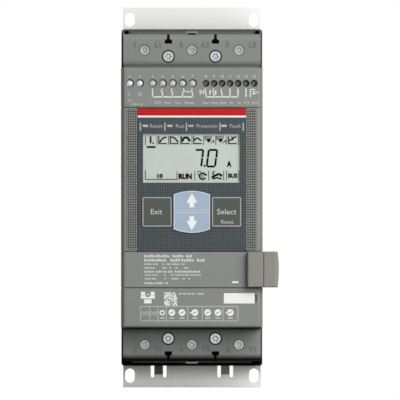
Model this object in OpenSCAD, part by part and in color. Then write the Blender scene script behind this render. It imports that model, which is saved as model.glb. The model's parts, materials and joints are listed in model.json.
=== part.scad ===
// Soft starter for a three-phase motor, screwed to a cabinet wall.
// Every sub-part is drawn lying on its back: x to the right, y up the wall and z out of the wall.
// stand_up() then turns it upright: +Z up, front towards -Y, wall plane at Y = 0.
// The origin is the middle of the mounting plate's back face.

/* [Mounting plate] */
// Step from the housing's side to the plate's side edge
plate_side = 0.6; // [0.4:0.1:1]
// Distance that the plate stands out beyond each end of the housing
plate_end = 15; // [13.5:0.5:18]
// Width of a wall slot
slot_w = 6.2; // [5.2:0.1:7]
// Length of a wall slot, end to end
slot_l = 9.3; // [7.5:0.1:11]
// Sheet left between a slot and the plate's side edge
slot_side = 1.3; // [1:0.1:3]
// Sheet left between a slot and the plate's end edge
slot_end = 2.85; // [2:0.05:5]
// Thickness of the sheet
plate_t = 2; // [1.5:0.1:3]
// Width of a fan hook lanced out of the sheet
hook_w = 5.7; // [4:0.1:8]
// Width of the relief cut on each side of a hook
hook_cut = 2.2; // [1.2:0.1:2.6]
// Distance between the two hooks
hook_pitch = 43; // [36:0.5:46]
// Distance that a hook steps forward
hook_run = 5.6; // [4:0.1:8]
// Height of a hook's bend line above the plate's lower end
hook_bend = 9.2; // [8:0.1:12]

/* [Housing] */
// Width of the housing
body_w = 90; // [82:0.5:100]
// Height of the housing
body_h = 215; // [200:1:240]
// Thickness of the moulded walls
wall = 2.5; // [2:0.1:3]
// Distance from the wall to the rear housing's front rim
base_front = 118; // [112:1:128]
// Radius of the rear housing's corners
base_corner_r = 2; // [1:0.1:3]
// Depth of the front block, from the rim to the front face
block_deep = 62; // [58:1:70]
// Radius along the front block's upright edges
block_edge_r = 3; // [1.5:0.1:4]
// Thickness of the front face
face_wall = 3; // [2.6:0.1:4]
// Width of the shadow grooves round the front block
groove_w = 0.7; // [0.4:0.1:1]
// Depth of the shadow grooves
groove_deep = 0.6; // [0.3:0.1:1]
// Gap between pieces that slip together
slip = 0.3; // [0.2:0.05:0.4]

/* [Terminal covers] */
// Depth of the terminal covers, from the rim to their front
cover_deep = 40; // [38:0.5:46]
// Height of a terminal cover
cover_h = 20.7; // [20.2:0.1:24]
// Step from the housing's side to a cover's side
cover_side = 1.3; // [0.8:0.1:2]
// Step from the housing's end to a cover's outer edge
cover_end = 3.5; // [3:0.1:5]
// Gap between a cover and the front block
cover_gap = 0.8; // [0.5:0.1:1.2]
// Wall thickness of a cover
cover_wall = 2.2; // [1.8:0.1:2.6]
// Radius along a cover's front edges
cover_edge_r = 4; // [3:0.1:5]
// Distance of the cover screws from a cover's inner edge
cover_screw_in = 6.5; // [6:0.1:7]
// Radius of a cover screw's head
cover_head_r = 3.3; // [2.8:0.05:3.6]
// Radius of a cover screw's shank
cover_shank_r = 2; // [1.6:0.05:2.2]
// Height of a cover screw's head
cover_head_h = 3.2; // [2.4:0.1:3.6]
// Width of the barrier slot's mouth
barrier_mouth = 1.7; // [1:0.1:2]
// Width of the barrier slot's crossbar
barrier_bar_w = 4.6; // [3.6:0.1:5.5]
// Height of the barrier slot's crossbar
barrier_bar_h = 2.3; // [1.6:0.1:2.6]
// Height of the barrier slot's sloping shoulders
barrier_shoulder = 0.7; // [0.4:0.1:1.6]
// Length of the barrier slot's mouth
barrier_mouth_l = 3.8; // [3:0.1:4.2]
// Depth of the barrier slot
barrier_deep = 32; // [20:1:36]

/* [Power terminals] */
// Width of a terminal clamp
clamp_w = 16; // [14:0.5:17]
// Length of a terminal clamp along the cable
clamp_l = 10.4; // [9:0.1:11]
// Height of a terminal clamp
clamp_h = 28; // [24:0.5:30]
// Wall of a terminal clamp
clamp_t = 2; // [1.6:0.1:2.5]
// Radius of a terminal screw
clamp_screw_r = 3.1; // [2.6:0.05:3.4]
// Length of a terminal screw
clamp_screw_l = 17.6; // [15:0.1:19]
// Depth of a terminal screw's top below the cover's face
clamp_screw_in = 1.2; // [0.6:0.1:2.4]
// Width of a busbar
bar_w = 11; // [9:0.5:11.5]
// Thickness of a busbar
bar_t = 2.5; // [2:0.1:3]

/* [Heat sink and fan] */
// Depth of the heat sink, fins included
sink_depth = 56; // [50:1:62]
// Thickness of the heat sink's base
sink_base_t = 12; // [8:0.5:16]
// Thickness of a fin
fin_t = 2; // [1.4:0.1:3]
// Number of thin fins
fin_count = 10; // [6:1:12]
// Thickness of the two outer fins that take the plate screws
sink_leg_t = 8; // [7:0.5:10]
// Radius of a plate screw's shank
plate_screw_r = 2; // [1.6:0.1:2.5]
// Distance between the plate screws along the heat sink
plate_screw_pitch = 140; // [100:5:150]
// Side of the square fan
fan_size = 50; // [46:1:52]
// Thickness of the fan
fan_t = 20; // [18:0.5:22]
// Distance between the fan's mounting holes
fan_pitch = 40; // [38:0.5:42]
// Radius of the fan's hub
fan_hub_r = 12; // [10:0.5:14]
// Wall left beside the fan's round duct
fan_rim = 1.2; // [1:0.1:2]
// Gap between the blade tips and the duct
fan_tip_gap = 0.6; // [0.4:0.1:1]
// Number of fan blades
fan_blades = 7; // [5:1:9]
// Radius of the fan's shaft
fan_shaft_r = 1.5; // [1:0.1:2]

/* [Power stage] */
// Gap between a thyristor module and the housing's side wall
module_gap = 2.5; // [1.5:0.1:3.5]
// Length of a thyristor module
module_l = 92; // [84:1:96]
// Height of a thyristor module
module_h = 30; // [26:1:34]
// Space between the busbars and the power board
board_gap = 13.5; // [12:0.5:18]
// Thickness of the circuit boards
board_t = 1.6; // [1:0.1:2]
// Height of the power board
power_board_h = 140; // [130:1:144]
// Width of a bypass relay
relay_w = 24; // [20:1:26]
// Length of a bypass relay
relay_l = 60; // [50:1:66]
// Height of a bypass relay
relay_h = 27; // [22:1:32]
// Thickness of a current transformer along its busbar
sensor_t = 12; // [10:0.5:14]

/* [Control panel] */
// Width of the front face beside the dark control panel
panel_side = 10.5; // [10:0.1:11.5]
// Thickness of the dark control panel
panel_t = 1.6; // [1.2:0.1:2]
// Height of the front face above the panel
panel_down = 26; // [25.5:0.1:27]
// Height of the front face below the panel
panel_up = 48.2; // [47:0.2:52]
// Width of the ledge that carries the panel
panel_ledge = 1.3; // [1:0.1:1.5]
// Height of the coloured strip along the panel's top
strip_h = 3.6; // [2.5:0.1:4.5]
// Thickness of the coloured strip
strip_t = 0.4; // [0.3:0.05:0.6]
// Panel left beside the display window
window_side = 3.65; // [3.2:0.05:5]
// Distance of the display window from the panel's top edge
window_down = 16.1; // [15.5:0.1:17]
// Height of the key field below the display window
key_field = 43.8; // [42.5:0.1:46]
// Panel left beside the square keys
key_side = 3.1; // [2.8:0.1:5]
// Height of a square key
key_h = 18.8; // [17:0.1:20]
// Width of the arrow keys
arrow_w = 23.2; // [21:0.1:24]
// Height of the two arrow keys together
arrow_h = 26.7; // [24:0.1:27.5]
// Radius of the arrow keys' arched ends
arrow_arch_r = 30.5; // [24:0.5:40]
// Panel left between neighbouring keys
key_bridge = 0.8; // [0.7:0.1:1.2]
// Distance of the keys' middle line from the panel's lower edge
key_up = 25.2; // [24:0.1:26]
// Height of the keys above the panel
key_proud = 0.7; // [0.4:0.05:1.2]
// Travel of a key
key_travel = 0.8; // [0.4:0.1:1]
// Gap round a key
key_gap = 0.2; // [0.15:0.05:0.3]
// Width of a status light
light_w = 3.3; // [2.5:0.1:4]
// Height of a status light
light_h = 1.4; // [1:0.1:2]
// Distance of the status lights from the panel's top edge
light_down = 11; // [10:0.1:11.5]
// Distance of the control board behind the front face's inner side
board_drop = 13.4; // [12.5:0.1:16]

/* [Control terminals] */
// Distance of the terminal screws from the front block's top
screw_row_down = 10; // [9:0.1:11]
// Pitch of the narrow terminal block as a share of the wide blocks' pitch
narrow_share = 0.8; // [0.76:0.01:0.84]
// Radius of a wide block's screw head as a share of its pitch
wide_head_share = 0.37; // [0.3:0.005:0.38]
// Radius of the narrow block's screw head as a share of its pitch
narrow_head_share = 0.3445; // [0.3:0.0005:0.36]
// Gap between the supply block and the housing's left wall
supply_edge = 0.1; // [0.1:0.05:0.5]
// Distance from the last supply screw to the first relay screw
supply_gap = 8.2; // [7.5:0.1:9]
// Distance from the last relay screw to the first input screw
relay_gap = 8.57; // [8:0.01:9]
// Gap between the input block and the housing's right wall
input_edge = 0.7; // [0.3:0.05:1]
// Depth of the wide blocks' screws below the front face
wide_sunk = 0.6; // [0.3:0.1:2.2]
// Depth of the narrow block's screws below the front face
narrow_sunk = 4.6; // [3.5:0.1:6]
// Height of a terminal screw's domed top as a share of its radius
screw_crown = 0.45; // [0.3:0.05:0.6]
// Gap between a terminal screw's head and its hole in the front face
screw_hole_gap = 0.42; // [0.3:0.02:0.5]
// Height of the wire mouths above the control board
wire_up = 5; // [4:0.1:6]
// Radius of a wire mouth as a share of its block's pitch
wire_share = 0.3; // [0.24:0.01:0.32]

/* [Fieldbus plug and name tag] */
// Height of the fieldbus plug
plug_h = 22.7; // [20:0.1:24]
// Gap between the panel's lower edge and the plug
plug_gap = 0.1; // [0.1:0.1:2]
// Width of the plug's leg on the front face
plug_leg = 9.8; // [9:0.1:10.5]
// Thickness of the plug's leg beside the housing
plug_side = 10; // [8:0.1:12]
// Length of the plug's leg along the housing's side
plug_back = 32; // [24:1:40]
// Bulge of the plug's outer side
plug_bow = 0.8; // [0.4:0.1:2]
// Height of the plug above the front face
plug_proud = 4.6; // [3.5:0.1:6]
// Depth of the plug's nose behind the front face
plug_nose = 8; // [6:0.1:9]
// Width of the white name tag
tag_w = 19.7; // [16:0.1:21]
// Height of the white name tag
tag_h = 6.7; // [5:0.1:8]
// Thickness of the white name tag
tag_t = 0.6; // [0.4:0.1:1]
// Distance of the tag's right edge from the housing's right side
tag_in = 5; // [4:0.1:8]
// Distance of the tag below the plug
tag_down = 3.6; // [1:0.1:6]

/* [Hidden] */
$fn = 48;
cut = 1;              // how far a cut runs past the face that it opens
running_gap = 0.05;   // radial gap of the fan's shaft and of the screws in their holes
body_grey = [0.53, 0.54, 0.52];
plug_grey = [0.58, 0.58, 0.55];
black_plastic = [0.12, 0.12, 0.13];
panel_blue = [0.27, 0.3, 0.31];
key_grey = [0.34, 0.36, 0.33];
arrow_blue = [0.65, 0.73, 0.81];
board_green = [0.1, 0.33, 0.2];
copper = [0.75, 0.47, 0.3];
zinc = [0.78, 0.79, 0.8];

plate_w = body_w - 2 * plate_side;
plate_h = body_h + 2 * plate_end;
slot_pitch_x = plate_w - slot_w - 2 * slot_side;
slot_pitch_y = plate_h - slot_l - 2 * slot_end;
in_x = body_w / 2 - wall;                     // inner half width of the housing
in_y = body_h / 2 - wall;                     // inner half height of the housing
block_h = body_h - 2 * (cover_end + cover_h + cover_gap);
block_y = block_h / 2;
block_front = base_front + block_deep;
pole_pitch = body_w / 3;
poles = [-pole_pitch, 0, pole_pitch];
ends = [1, -1];                               // upper end, lower end

cover_front = base_front + cover_deep;
cover_in_y = block_y + cover_gap;             // edge of a cover beside the front block
cover_out_y = body_h / 2 - cover_end;         // outer edge of a cover
cover_x = body_w / 2 - cover_side;
cover_screw_x = pole_pitch / 2;
cover_screw_y = cover_in_y + cover_screw_in;
cover_boss_wall = 1.2;
cover_boss_r = cover_head_r + slip + cover_boss_wall;
cover_ring = 0.8;                             // ring that a counterbore leaves round the head
cover_bore_r = cover_head_r + cover_ring;
cover_screw_sunk = 0.5;
cover_seat_z = cover_front - cover_screw_sunk - cover_head_h;
shelf_t = 2.5;                                // terminal shelf across the rear housing's ends
thread_l = 10;                                // length of the cover screws' threaded bosses

sink_front = plate_t + sink_depth;
sink_x = in_x - slip;
module_top = sink_front + module_h;
power_board_z = module_top + bar_t + board_gap;
power_board_x = in_x - slip;
rib_w = 5;                                    // corner rests that carry the power board
rib_h = 4;
rib_l = 8;
board_screw_r = 1.4;
board_head_r = rib_w / 2 - slip;
board_screw_y = (power_board_h - rib_l) / 2;
header_h = 5;                                 // pin headers of the ribbon between the boards
header_w = 20;
header_d = 6;
ribbon_in = 1;                                // headers beside the ribbon
ribbon_t = 1;
header_in = 16;                               // the same from the power board's lower edge
header_y = -(power_board_h / 2 - header_in);

bar_rise = cover_in_y + cover_wall + slip + bar_t;   // outer face of a busbar's upright part
clamp_y = bar_rise + slip;                    // inner face of a terminal clamp
clamp_screw_y = clamp_y + clamp_l / 2;
clamp_screw_top = cover_front - clamp_screw_in;
tongue_z = base_front + clamp_t;              // back face of a busbar's tongue in its clamp

fan_z = hook_run + plate_t + slip + fan_size / 2;    // the fan's axis, clear of the hooks
fan_low = -in_y;                              // underside of the fan, on the rear housing's floor
sink_low = fan_low + fan_t + slip;
sink_high = in_y - 2 * slip;
plate_screw_y = (sink_low + sink_high) / 2;
hook_bend_y = -plate_h / 2 + hook_bend;
hook_cut_low = hook_bend_y - 1.45 * plate_t;  // lower end of the relief cuts
hook_top = fan_low + fan_t / 2;
grille_pitch = 5;
grille_slot = 2.8;
inlet_margin = [2, 3];                        // the fan's rim left beside and behind the inlet slots
outlet_margin = [7, 6];                       // wall left beside and behind the outlet slots
vent_pitch = 7;
vent_slot = 3;
vent_l = 34;
vent_back = 8;                                // the vents' reach behind the heat sink's front
vent_rows = 7;                                // vents above and below the middle one
fan_duct_r = fan_size / 2 - fan_rim;
fan_tip_r = fan_duct_r - fan_tip_gap;
fan_spider_t = 3;                             // struts that carry the fan's hub
fan_floor = 2;                                // height of the rotor above the fan's underside
fan_hub_h = fan_t - fan_spider_t - fan_floor - 1;
fan_corner_r = 3;
fan_hole_r = 2.1;
fan_strut_w = 3;
fan_blade_t = 1.4;
fan_blade_root = 1;                           // how far the blades start inside the hub
fan_blade_tilt = 38;

module_w = 2 * (in_x - pole_pitch - module_gap);
module_screw_r = 2.4;
module_screw_in = 6;                          // module screws from the module's ends
module_tab_l = 12;
module_tab_h = 8;
module_pad = [12, 14];                        // raised contacts of a module
module_pad_h = 2;
module_pad_gap = 8;
sensor_gap = 1.5;                             // between a current sensor and the side wall
sensor_room = 1;                              // between a current sensor and its module
sensor_wall = in_x - pole_pitch - bar_w / 2 - sensor_gap;    // current sensor round its busbar
relay_edge = 12.2;                            // relays from the power board's side edges
relay_x = power_board_x - relay_edge - relay_w / 2;
relay_r = 1;
transformer = [28, 22, 20];                   // supply transformer on the power board
capacitor_x = 26;
capacitor_r = 8;
capacitor_h = 24;
relay_room = 6;                               // between the relays and the parts above them
latch_w = 2.7;                                // the covers' latch holes in the rim
latch_in = 2.1;
pry_w = 7.4;                                  // pry pocket on a cover's outer edge
pry_h = 1.7;
pry_rim = 1.1;
pry_in = 0.4;                                 // how far it reaches into the cover's wall
pry_l = 9;

face_back = block_front - face_wall;          // inner side of the front face
tab_t = 1.6;                                  // snap tabs of the front housing
tab_w = 8;
tab_l = 10;
tab_root = 6;
panel_w = body_w - 2 * panel_side;
panel_h = block_h - panel_down - panel_up;
panel_top = block_y - panel_down;
panel_y = panel_top - panel_h / 2;
panel_low = panel_top - panel_h;
panel_back = block_front - panel_t;
window_w = panel_w - 2 * window_side;
window_h = panel_h - window_down - key_field;
window_y = panel_top - window_down - window_h / 2;
key_y = panel_low + key_up;
key_w = panel_w / 2 - key_side - arrow_w / 2 - key_bridge - 2 * key_gap;
key_x = panel_w / 2 - key_side - key_w / 2;
key_front = block_front + key_proud;
key_flange = 1.2;                             // lip that keeps a key behind the panel
key_lip_t = 1.1;
key_r = 1;                                    // corner radius of the square keys
arrow_split = 0.3;                            // gap between the two arrow keys
key_places = [[-key_x, key_y], [key_x, key_y], [0, key_y + arrow_h / 4], [0, key_y - arrow_h / 4]];
control_board_z = face_back - board_drop;     // back face of the control board
control_face = control_board_z + board_t;     // front face of the control board
control_board_gap = 1.2;                      // between the control board and the side walls
control_board_x = in_x - control_board_gap;
control_board_top = block_y - wall - slip;
board_tail = 26;                              // control board below the panel
control_board_low = panel_low - board_tail;
key_stem_l = 4.2;
key_stem_r = 2;
key_back = panel_back - key_lip_t;            // back face of the keys' lips
stem_end = key_back - key_stem_l;             // where a key's stem stops above its switch
switch_w = 6;
switch_h = 3.4;
switch_gap = 0.1;                             // room left over a switch when its key is down
control_boss_out = 3.6;                       // the board's bosses beside the panel
control_boss_in = [3, 4];                     // the same below its top and above its lower edge
control_boss_x = panel_w / 2 + control_boss_out;
control_boss_ys = [panel_top - control_boss_in[0], panel_low + control_boss_in[1]];
control_boss_r = 2.8;
control_screw_r = 1.2;
control_screw_l = 7;
lcd_t = 5;
light_y = panel_top - light_down;
light_shares = [-0.4275, -0.2015, -0.0072, 0.2971];   // left of their words, in panel widths
light_xs = panel_w * light_shares;
light_floor = control_face + 1;               // light pipes stand over the lamps on the board

screw_y = block_y - screw_row_down;
block_side = 0.4;                             // terminal block wall beside its outer screws
block_rim = block_side + slip / 2;            // the same from the screw's head
// The row holds five wide steps, six narrow ones and half a head at each end
row_w = 2 * in_x - supply_edge - input_edge - 2 * block_rim - supply_gap - relay_gap;
row_steps = 5 + wide_head_share + narrow_share * (6 + narrow_head_share);
wide_pitch = row_w / row_steps;
narrow_pitch = narrow_share * wide_pitch;
wide_head_r = wide_head_share * wide_pitch;
narrow_head_r = narrow_head_share * narrow_pitch;
supply_x = -in_x + supply_edge + block_rim + wide_head_r;    // first supply screw
input_x = in_x - input_edge - block_rim - narrow_head_r;     // last input screw
wide_wire_r = wire_share * wide_pitch;
narrow_wire_r = wire_share * narrow_pitch;
supply_xs = [for (i = [0:1]) supply_x + i * wide_pitch];
relay_xs = [for (i = [0:4]) max(supply_xs) + supply_gap + i * wide_pitch];
input_xs = [for (i = [-6:0]) input_x + i * narrow_pitch];
block_low = 7.2;                              // terminal block below its screws
well_deep = 6;                                // screw wells and wire mouths of the terminal blocks

plug_low = panel_low - plug_gap - plug_h;
plug_y = plug_low + plug_h / 2;
plug_x = body_w / 2 - plug_leg;               // left edge of the plug's front leg
plug_front = block_front + plug_proud;
plug_r = 2.6;                                 // rounding of the plug's edges
plug_step = 0.9;                              // step from the plug's front leg back to its side leg
plug_seam = 0.6;                              // groove between the plug's two legs
plug_nose_in = [0.8, 3];                      // the nose from the plug's left edge and its ends
plug_nose_gap = 1.2;                          // the nose from the housing's side wall
plug_nose_w = plug_leg - wall - plug_nose_in[0] - plug_nose_gap;
plug_nose_h = plug_h - 2 * plug_nose_in[1];
plug_nose_x = plug_x + plug_nose_in[0] + plug_nose_w / 2;
tag_x = body_w / 2 - tag_in - tag_w / 2;
notch_w = 1.2;                                // finger notch beside the name tag
tag_y = plug_low - tag_down - tag_h / 2;
band_ys = [panel_top + groove_w, panel_low, plug_low - slip];   // shadow grooves across the front block

// Frames and shapes that several sub-parts share

module stand_up() {
    rotate([90, 0, 0]) children();
}

// A box from its low corner to its high corner
module span(low, high) {
    translate(low) cube(high - low);
}

// A profile drawn in y and z, extruded along x about the middle
module along_x(width) {
    rotate([90, 0, 90]) linear_extrude(width, center = true) children();
}

// A profile drawn in x and z, extruded from one y to another
module along_y(low, high) {
    translate([0, high, 0]) rotate([90, 0, 0]) linear_extrude(high - low) children();
}

module rounded_rect(width, height, r) {
    square([width - 2 * r, height], center = true);
    square([width, height - 2 * r], center = true);
    for (sx = [-1, 1], sy = [-1, 1])
        translate([sx * (width / 2 - r), sy * (height / 2 - r)]) circle(r = r);
}

// A block from back to front whose two front corners are round
module round_fronted(half, back, front, r) {
    translate([-half, back]) square([2 * half, front - back - r]);
    translate([-half + r, back]) square([2 * (half - r), front - back]);
    for (s = [-1, 1]) translate([s * (half - r), front - r]) circle(r = r);
}

// An upright slot with round ends
module upright_slot(width, length) {
    square([width, length - width], center = true);
    for (s = [-1, 1]) translate([0, s * (length - width) / 2]) circle(d = width);
}

// The children as drawn for the upper end, or mirrored to the lower end
module at_end(side) {
    if (side > 0) children();
    else mirror([0, 1, 0]) children();
}

// Sheet-metal back

module hook_profile() {
    b = hook_bend_y;
    bend = plate_t * tan(22.5);
    polygon([
        [b - cut - bend, 0], [b, 0], [b + hook_run, hook_run], [hook_top, hook_run],
        [hook_top, hook_run + plate_t], [b + hook_run - bend, hook_run + plate_t],
        [b - bend, plate_t], [b - cut - bend, plate_t]
    ]);
}

module hook_window() {
    low = hook_cut_low;
    high = hook_top + slip;
    for (s = [-1, 1])
        translate([s * (hook_w + hook_cut) / 2, (low + high) / 2]) upright_slot(hook_cut, high - low);
    translate([-hook_w / 2, hook_bend_y]) square([hook_w, high - hook_bend_y - hook_cut / 2]);
}

module at_hooks() {
    for (s = [-1, 1]) translate([s * hook_pitch / 2, 0, 0]) children();
}

module at_plate_screws() {
    for (sx = [-1, 1], sy = [-1, 1])
        translate([sx * (sink_x - sink_leg_t / 2), plate_screw_y + sy * plate_screw_pitch / 2, 0])
            children();
}

// Countersunk from the back, so that the heads lie flush with the wall
module plate_screw_hole() {
    head_r = plate_screw_r + plate_t;
    translate([0, 0, -running_gap])
        cylinder(r1 = head_r + running_gap, r2 = plate_screw_r, h = plate_t + 2 * running_gap);
    translate([0, 0, -cut]) cylinder(r = plate_screw_r + running_gap, h = plate_t + 2 * cut);
}

module mounting_plate() {
    color("gainsboro") stand_up() difference() {
        union() {
            linear_extrude(plate_t) difference() {
                square([plate_w, plate_h], center = true);
                for (sx = [-1, 1], sy = [-1, 1])
                    translate([sx * slot_pitch_x / 2, sy * slot_pitch_y / 2]) upright_slot(slot_w, slot_l);
                at_hooks() hook_window();
            }
            at_hooks() along_x(hook_w) hook_profile();
        }
        at_plate_screws() plate_screw_hole();
    }
}

module plate_screws() {
    head_r = plate_screw_r + plate_t;
    color(zinc) stand_up() at_plate_screws() difference() {
        union() {
            cylinder(r1 = head_r - running_gap, r2 = plate_screw_r - running_gap, h = plate_t);
            cylinder(r = plate_screw_r, h = plate_t + 2 * sink_leg_t);
        }
        translate([0, 0, -cut]) cylinder(r = plate_screw_r * 0.75, h = cut + plate_t * 0.8, $fn = 6);
    }
}

// Cooling

module sink_profile() {
    translate([-sink_x, sink_front - sink_base_t]) square([2 * sink_x, sink_base_t]);
    for (s = [-1, 1])
        translate([s * (sink_x - sink_leg_t / 2) - sink_leg_t / 2, plate_t]) square([sink_leg_t, sink_depth]);
    room = 2 * (sink_x - sink_leg_t);
    for (i = [1:fin_count])
        translate([-room / 2 + i * room / (fin_count + 1) - fin_t / 2, plate_t]) square([fin_t, sink_depth]);
}

module at_module_screws() {
    for (sx = [-1, 1], sy = [-1, 1])
        translate([sx * pole_pitch, sy * (module_l / 2 - module_screw_in), 0]) children();
}

module heat_sink() {
    color("silver") stand_up() difference() {
        along_y(sink_low, sink_high) sink_profile();
        at_plate_screws() cylinder(r = plate_screw_r + running_gap, h = plate_t + 2 * sink_leg_t + cut);
        at_module_screws() translate([0, 0, sink_front - sink_base_t + cut])
            cylinder(r = module_screw_r + running_gap, h = sink_base_t);
    }
}

module fan_place() {
    translate([0, fan_low, fan_z]) rotate([-90, 0, 0]) children();
}

module fan_frame() {
    color(black_plastic) stand_up() fan_place() difference() {
        union() {
            linear_extrude(fan_t) difference() {
                rounded_rect(fan_size, fan_size, fan_corner_r);
                circle(r = fan_duct_r);
            }
            translate([0, 0, fan_t - fan_spider_t]) {
                cylinder(r = fan_hub_r, h = fan_spider_t);
                for (a = [30, 150, 270]) rotate(a)
                    translate([0, -fan_strut_w / 2, 0])
                        cube([fan_duct_r + fan_rim / 2, fan_strut_w, fan_spider_t]);
            }
        }
        translate([0, 0, -cut]) {
            cylinder(r = fan_shaft_r + running_gap, h = fan_t + 2 * cut);
            for (sx = [-1, 1], sy = [-1, 1])
                translate([sx * fan_pitch / 2, sy * fan_pitch / 2, 0])
                    cylinder(r = fan_hole_r, h = fan_t + 2 * cut);
        }
    }
}

module fan_blade() {
    intersection() {
        difference() {
            translate([0, 0, fan_floor]) cylinder(r = fan_tip_r, h = fan_hub_h);
            cylinder(r = fan_hub_r - fan_blade_root, h = fan_t);
        }
        translate([fan_hub_r - 2 * fan_blade_root, 0, fan_floor + fan_hub_h / 2]) rotate([fan_blade_tilt, 0, 0])
            translate([0, -fan_tip_r, -fan_blade_t / 2]) cube([fan_tip_r, 2 * fan_tip_r, fan_blade_t]);
    }
}

module fan_rotor() {
    color([0.2, 0.2, 0.21]) stand_up() fan_place() {
        translate([0, 0, fan_floor]) cylinder(r = fan_hub_r, h = fan_hub_h);
        translate([0, 0, fan_floor]) cylinder(r = fan_shaft_r, h = fan_t - fan_floor);
        for (i = [0:fan_blades - 1]) rotate(i * 360 / fan_blades) fan_blade();
    }
}

// Rear housing

module row_of_slots(length, count) {
    for (i = [0:count - 1])
        translate([(i - (count - 1) / 2) * grille_pitch, 0, 0])
            cube([grille_slot, 3 * wall, length], center = true);
}

module base_openings() {
    // Fan inlet below, heat sink outlet above
    translate([0, -body_h / 2, fan_z])
        row_of_slots(fan_size - 2 * inlet_margin[1],
                     floor((fan_size - 2 * inlet_margin[0]) / grille_pitch));
    translate([0, body_h / 2, plate_t + sink_depth / 2])
        row_of_slots(sink_depth - 2 * outlet_margin[1],
                     floor((body_w - 2 * outlet_margin[0]) / grille_pitch));
    // Hooks of the plate
    at_hooks() span([-hook_w / 2 - slip, -body_h / 2 - cut, hook_run - slip],
                    [hook_w / 2 + slip, -in_y + cut, hook_run + plate_t + slip]);
    // Side vents in front of the heat sink
    for (s = [-1, 1], i = [-vent_rows:vent_rows])
        translate([s * body_w / 2, i * vent_pitch, sink_front + vent_l / 2 - vent_back])
            cube([3 * wall, vent_slot, vent_l], center = true);
    // Busbars, cover screws and the covers' latch holes
    for (side = ends) at_end(side) {
        for (x = poles)
            span([x - bar_w / 2 - slip, bar_rise - bar_t - slip, base_front - shelf_t - cut],
                 [x + bar_w / 2 + slip, bar_rise + slip, base_front + cut]);
        for (s = [-1, 1]) {
            translate([s * cover_screw_x, cover_screw_y, base_front - thread_l - cut])
                cylinder(r = cover_shank_r + running_gap, h = thread_l + 2 * cut);
            translate([s * (cover_x - latch_in) - latch_w / 2, cover_out_y - cut / 4, base_front - thread_l])
                cube([latch_w, latch_w, thread_l + cut]);
        }
        // Groove along the rim, between the cover and the housing's outer wall
        span([-cover_x + 2 * latch_w, cover_out_y + groove_w, base_front - shelf_t / 2],
             [cover_x - 2 * latch_w, cover_out_y + 2 * groove_w, base_front + cut]);
    }
}

module base_housing() {
    color(body_grey) stand_up() difference() {
        union() {
            translate([0, 0, plate_t]) linear_extrude(base_front - plate_t) difference() {
                rounded_rect(body_w, body_h, base_corner_r);
                square([2 * in_x, 2 * in_y], center = true);
            }
            for (side = ends) at_end(side) {
                span([-in_x - wall / 2, block_y - wall, base_front - shelf_t],
                     [in_x + wall / 2, in_y + wall / 2, base_front]);
                for (s = [-1, 1]) translate([s * cover_screw_x, cover_screw_y, base_front - thread_l])
                    cylinder(r = cover_boss_r, h = thread_l);
            }
            for (sx = [-1, 1], sy = [-1, 1])
                translate([sx * (in_x - rib_w / 2 + wall / 4), sy * board_screw_y, power_board_z - rib_h])
                    linear_extrude(rib_h) square([rib_w + wall / 2, rib_l], center = true);
        }
        base_openings();
        at_board_screws() translate([0, 0, power_board_z - rib_h - cut])
            cylinder(r = board_screw_r + running_gap, h = rib_h + 2 * cut);
    }
}

// Power stage

module at_board_screws() {
    for (sx = [-1, 1], sy = [-1, 1]) translate([sx * (in_x - rib_w / 2), sy * board_screw_y, 0]) children();
}

module thyristor_module(x) {
    body_l = module_l - 2 * module_tab_l;
    color(black_plastic) stand_up() translate([x, 0, sink_front]) difference() {
        union() {
            translate([-module_w / 2, -module_l / 2, 0]) cube([module_w, module_l, module_tab_h]);
            translate([-module_w / 2, -body_l / 2, 0]) cube([module_w, body_l, module_h - module_pad_h]);
            for (i = [-1, 0, 1]) translate([0, i * (module_pad[1] + module_pad_gap), 0])
                linear_extrude(module_h) square(module_pad, center = true);
        }
        for (s = [-1, 1]) translate([0, s * (module_l / 2 - module_screw_in), -cut])
            cylinder(r = module_screw_r + running_gap, h = module_tab_h + 2 * cut);
    }
}

module thyristor_module_left() thyristor_module(-pole_pitch);
module thyristor_module_right() thyristor_module(pole_pitch);

module module_screws() {
    head_h = 3.4;
    socket_floor = 1.2;
    socket_r = 2.5;
    color(zinc) stand_up() at_module_screws() {
        translate([0, 0, sink_front + module_tab_h]) difference() {
            cylinder(r = 2 * module_screw_r, h = head_h);
            translate([0, 0, socket_floor]) cylinder(r = socket_r, h = head_h, $fn = 6);
        }
        translate([0, 0, sink_front - sink_base_t + cut + running_gap])
            cylinder(r = module_screw_r, h = sink_base_t + module_tab_h);
    }
}

// Half a busbar in y and z: along the modules, up through the shelf, out into the clamp
bar_tip = clamp_y + clamp_l - slip;
bar_back = [[bar_rise, module_top], [bar_rise, tongue_z], [bar_tip, tongue_z], [bar_tip, tongue_z + bar_t]];
bar_face = [[bar_rise - bar_t, tongue_z + bar_t], [bar_rise - bar_t, module_top + bar_t]];
bar_half = concat(bar_back, bar_face);

module busbar(x, side) {
    pad_in = 2;
    bar_start = module_pad[1] / 2 + module_pad_gap + pad_in;
    color(copper) stand_up() at_end(side) translate([x, 0, 0]) along_x(bar_w)
        polygon(concat([[bar_start, module_top]], bar_half, [[bar_start, module_top + bar_t]]));
}

module line_busbar_left() busbar(-pole_pitch, 1);
module line_busbar_right() busbar(pole_pitch, 1);
module load_busbar_left() busbar(-pole_pitch, -1);
module load_busbar_right() busbar(pole_pitch, -1);

module through_busbar() {
    far_half = [for (i = [len(bar_half) - 1:-1:0]) [-bar_half[i][0], bar_half[i][1]]];
    color(copper) stand_up() along_x(bar_w) polygon(concat(bar_half, far_half));
}

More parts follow.
